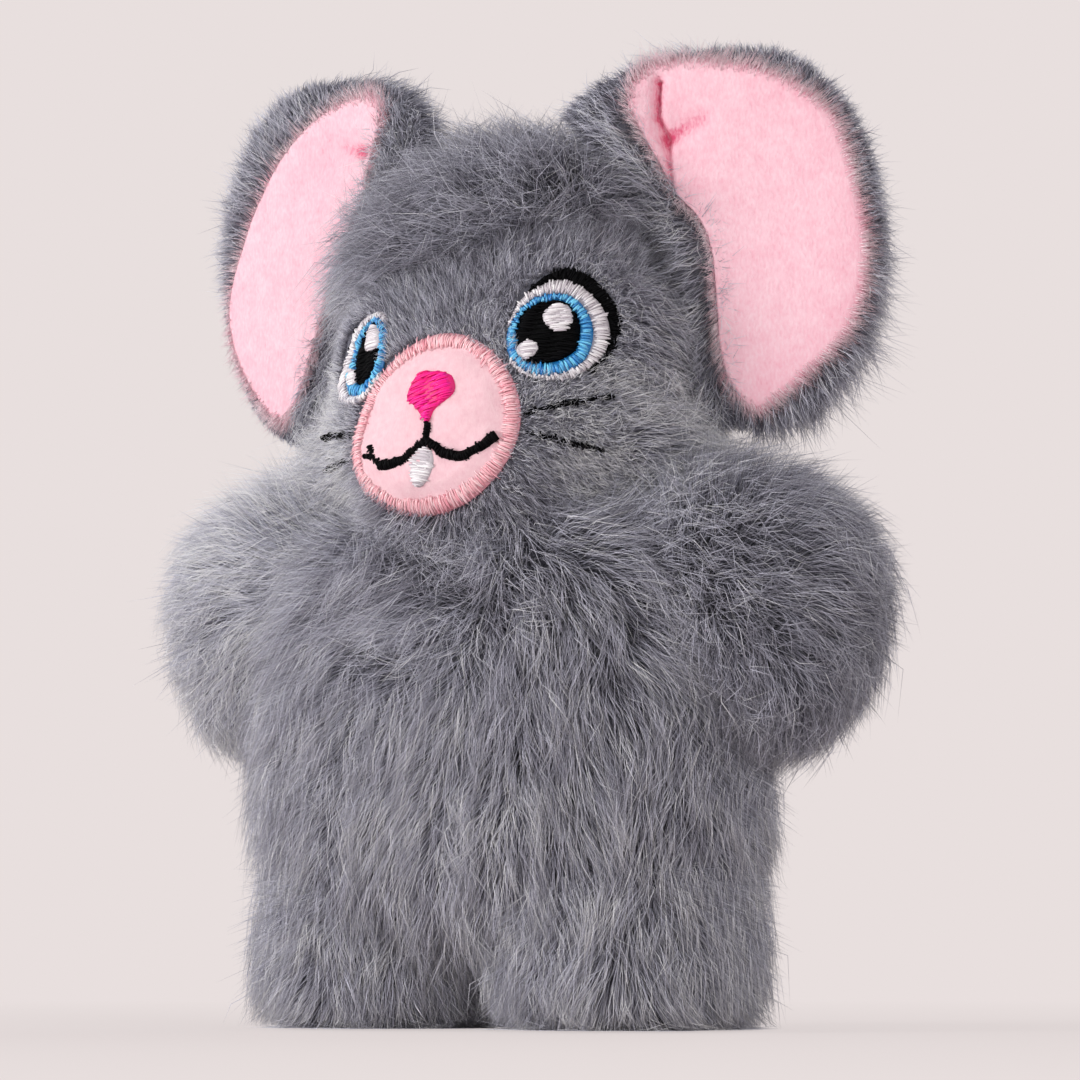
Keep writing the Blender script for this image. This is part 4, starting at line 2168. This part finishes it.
@dataclass
class Eye:
    """One embroidered eye: a lid line, a white ring, a blue iris, a black pupil and two glints."""

    side: Side
    across: float = 14.6
    up: float = 25.7
    turn: float = 32.0

    def build(self, room: Workroom) -> None:
        """Adds the eye's pieces."""
        sign, drawing = self.side.value, EYE_DRAWINGS[self.side]
        surface = face_surface(sign * self.across, self.up, sign * self.turn)
        work = Embroidery(surface, 0.35, 0.5, 0.12, 0.21, 0.2, 40 + sign)
        white = drawing.parted(drawing.iris, drawing.white, drawing.white_arc, 0.35)
        self._add(room, "white", work.band(*white, around=False), WHITE_THREAD, "white_thread")
        iris = drawing.parted(drawing.pupil, drawing.iris, (0, 357.2), 0.5)
        self._add(room, "iris", work.band(*iris), BLUE_THREAD, "blue_thread")
        pupil = work.fill(smooth_line(drawing.pupil, 110, True), -8 * sign, 2.8)
        self._add(room, "pupil", pupil, BLACK_THREAD, "black_thread")
        lids = Embroidery(surface, 0.25 if self.side is Side.LEFT else -0.15, 0.45, 0.15, 0.26, 0.34, 45 + sign)
        lid = drawing.parted(drawing.white, drawing.lid, drawing.lid_arc, 0.3)
        self._add(room, "lid", lids.band(*lid, around=False), BLACK_THREAD, "black_thread")
        glints = Embroidery(surface, 0.8, 0.3, 0.13, 0.22, 0.16, 50 + sign)
        for name, outline in (("large_glint", drawing.large_glint), ("small_glint", drawing.small_glint)):
            self._add(room, name, glints.fill(smooth_line(outline, 60, True), 3), WHITE_THREAD, "white_thread")

    def _add(self, room: Workroom, part: str, shape: Shape, finish: ThreadFinish, slot: str) -> None:
        """Adds one of the eye's pieces."""
        node = f"eye_{self.side.label}_{part}"
        room.add(f"{node}_thread", shape, finish, slot, stands_for=(node,))


@dataclass
class Whisker:
    """One short whisker, stitched on the cheek."""

    side: Side
    level: str
    thickness: float = 0.6

    def build(self, room: Workroom) -> None:
        """Adds the whisker."""
        patch = WHISKERS[self.side, self.level]
        tilt = WHISKER_TILTS[self.side, self.level]
        lift = -0.1 if self.level == "upper" else -0.5
        work = Embroidery(patch.surface(), lift, 0.75, 0.12, 0.24, 0.16, 60 + self.side.value + tilt)
        reach = patch.half_width
        u = np.linspace(-reach, reach, 30)
        line = vectors(u, np.abs(u + reach * self.side.value) * math.tan(math.radians(tilt)))
        stitches = work.band(*rails(line, self.thickness), around=False)
        node = f"whisker_{self.side.label}_{self.level}"
        room.add(f"{node}_thread", stitches, BLACK_THREAD, "black_thread", stands_for=(node,))


@dataclass
class Toy:
    """The whole toy, part by part, and the room that its pieces go into."""

    room: Workroom

    def body(self) -> None:
        """Adds the torso, the head, the arms and the legs."""
        undercoat = Pile(4.6, 6.5, 0.18, 52, 30, 9, 0.08, 1, wander=0.3, clump_share=0.1, clump_pull=0.3)
        guard = Pile(5.3, 9.4, 0.16, 52, 11, 8, 0.052, 2, wander=0.22, clump_share=0.08, clump_pull=0.45,
                     tone_spread=0.26)
        parts = [
            StuffedPart("torso", TORSO, body_flow, True, 100, undercoat, guard),
            StuffedPart(
                "head", HEAD, head_flow, True, 200,
                replace(undercoat, length=4.8, lift=54),
                replace(guard, density=5.6, length=8.2, lift=60, lay=24, radius=0.044, wander=0.55,
                        clump_share=0.09, clump_pull=0.38),
                Pile(13.0, 2.3, 0.3, 44, 30, 16, 0.034, 1, 1.1, 0.1, 0.1, 0.5, 0.22, 0.05),
            ),
        ]
        for side in Side:
            parts.append(StuffedPart(f"arm_{side.label}", arm_form(side), body_flow, False, 300 + side.value,
                                     undercoat, replace(guard, wander=0.28)))
            parts.append(StuffedPart(f"leg_{side.label}", leg_form(side), limb_flow, False, 400 + side.value,
                                     undercoat, guard))
        for part in parts:
            part.cloth(self.room)
            part.pile(self.room)

    def face(self) -> None:
        """Adds the embroidered face."""
        Muzzle().build(self.room)
        for side in Side:
            Eye(side).build(self.room)
            for level in ("upper", "lower"):
                Whisker(side, level).build(self.room)

    def ears(self) -> None:
        """Adds both ears."""
        for side in Side:
            Ear(side).build(self.room)

    def inside(self) -> None:
        """Gives the stuffing and the pouch, which stay as the CAD made them, their finishes."""
        for name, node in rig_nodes().items():
            if name.endswith("_stuffing"):
                self.room.dress(node, FIBRE_FILL)
            elif name == "catnip_pouch":
                self.room.dress(node, POUCH_COTTON)


class Studio:
    """The floor, the backdrop, the lamps and the camera."""

    background = srgb(232, 223, 222)
    azimuth, elevation, distance = 29.0, -4.0, 0.7
    half_view = 0.0675
    aim, middle = Vector((0.0033, 0.0018, 0.061)), Vector((0, 0, 0.06))

    def build(self) -> None:
        """Builds the studio."""
        self._camera()
        self._world()
        self._floor()
        self._lamp("key", (-0.66, -0.78, 0.14), 0.5, 8.6)
        self._lamp("fill", (0.8, -0.62, 0.22), 0.6, 2.6)
        self._lamp("back", (0.1, 0.8, 0.75), 0.6, 1.0)
        bpy.context.scene.view_settings.view_transform = "Standard"

    def _camera(self) -> None:
        """Places the camera where the photograph was taken from, a little below the toy's middle."""
        azimuth, elevation, distance = math.radians(self.azimuth), math.radians(self.elevation), self.distance
        level = math.cos(elevation)
        back = Vector((math.sin(azimuth) * level, -math.cos(azimuth) * level, math.sin(elevation)))
        camera = bpy.data.objects.new("camera", bpy.data.cameras.new("camera"))
        bpy.context.scene.collection.objects.link(camera)
        camera.data.sensor_width = 36
        camera.data.lens = camera.data.sensor_width / 2 / (self.half_view / distance)
        camera.data.clip_start, camera.data.clip_end = 0.01, 30
        camera.location = self.aim + back * distance
        self._turn(camera, -back)
        bpy.context.scene.camera = camera

    @staticmethod
    def _turn(thing: bpy.types.Object, way: Vector) -> None:
        """Turns a camera or a lamp to look along a way."""
        thing.rotation_mode = "QUATERNION"
        thing.rotation_quaternion = way.to_track_quat("-Z", "Y")

    def _world(self) -> None:
        """Lights the toy softly from all round, and shows the camera a plain pale backdrop."""
        graph = Graph(bpy.data.worlds.new("studio"))
        light = graph.add("ShaderNodeBackground", {}, {"Color": (1.0, 0.985, 0.985, 1), "Strength": 0.58})
        shown = graph.add("ShaderNodeBackground", {}, {"Color": (*self.background, 1), "Strength": 1.0})
        direct = graph.add("ShaderNodeLightPath", output="Is Camera Ray")
        through = graph.add("ShaderNodeLightPath", output="Is Transmission Ray")
        seen = graph.add("ShaderNodeMath", {"operation": "ADD", "use_clamp": True}, {0: direct, 1: through})
        mix = graph.add("ShaderNodeMixShader", {}, {0: seen, 1: light, 2: shown})
        graph.add("ShaderNodeOutputWorld", {}, {"Surface": mix})
        bpy.context.scene.world = graph.owner

    def _floor(self) -> None:
        """Lays a pale floor that keeps a soft shadow and meets the backdrop without a line."""
        bpy.ops.object.select_all(action="DESELECT")
        bpy.ops.mesh.primitive_circle_add(vertices=96, radius=12.0, fill_type="NGON")
        floor = bpy.context.object
        floor.name = "studio_floor"
        graph = Graph.of_material("studio_floor")
        seen = graph.add("ShaderNodeLightPath", output="Is Camera Ray")
        place = graph.add("ShaderNodeTexCoord", output="Object")
        away = graph.add("ShaderNodeVectorMath", {"operation": "LENGTH"}, {0: place}, "Value")
        far = graph.add("ShaderNodeMapRange", {}, {"Value": away, "From Min": 0.07, "From Max": 0.3}, "Result")
        paper = graph.add("ShaderNodeBsdfDiffuse", {}, {"Color": (*self.background, 1)})
        glow = graph.add("ShaderNodeEmission", {}, {"Color": (*self.background, 1), "Strength": 1.0})
        share = seen * (far * 0.25 + 0.75)
        both = graph.add("ShaderNodeMixShader", {}, {0: share, 1: paper, 2: glow})
        graph.add("ShaderNodeOutputMaterial", {}, {"Surface": both})
        floor.data.materials.append(graph.owner)
        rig.stage(floor)

    def _lamp(self, name: str, place: tuple[float, float, float], size: float, power: float) -> None:
        """Hangs one soft lamp that points at the toy's middle, with its place and size in metres."""
        lamp = bpy.data.objects.new(name, bpy.data.lights.new(name, "AREA"))
        bpy.context.scene.collection.objects.link(lamp)
        lamp.data.shape, lamp.data.size, lamp.data.energy = "DISK", size, power
        lamp.location = place
        self._turn(lamp, self.middle - lamp.location)


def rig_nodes() -> dict[str, bpy.types.Object]:
    """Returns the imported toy's nodes by name."""
    return {piece["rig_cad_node"]: piece for piece in bpy.context.scene.objects if "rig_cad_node" in piece}


def write_sizes(before: tuple[Vector, Vector]) -> None:
    """Writes the CAD box and the dressed toy's box, for comparison."""
    bpy.context.view_layer.update()
    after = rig.bounds()
    sizes = {"cad": [list(corner) for corner in before], "visual": [list(corner) for corner in after]}
    with open("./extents.json", "w") as file:
        json.dump(sizes, file)


def main() -> None:
    """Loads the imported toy, then dresses it and lights it."""
    logging.basicConfig(level=logging.INFO, format="%(message)s")
    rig.load()
    bpy.context.view_layer.update()
    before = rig.bounds()
    Studio().build()
    toy = Toy(Workroom())
    toy.body()
    toy.face()
    toy.ears()
    toy.inside()
    write_sizes(before)


if __name__ == "__main__":
    main()
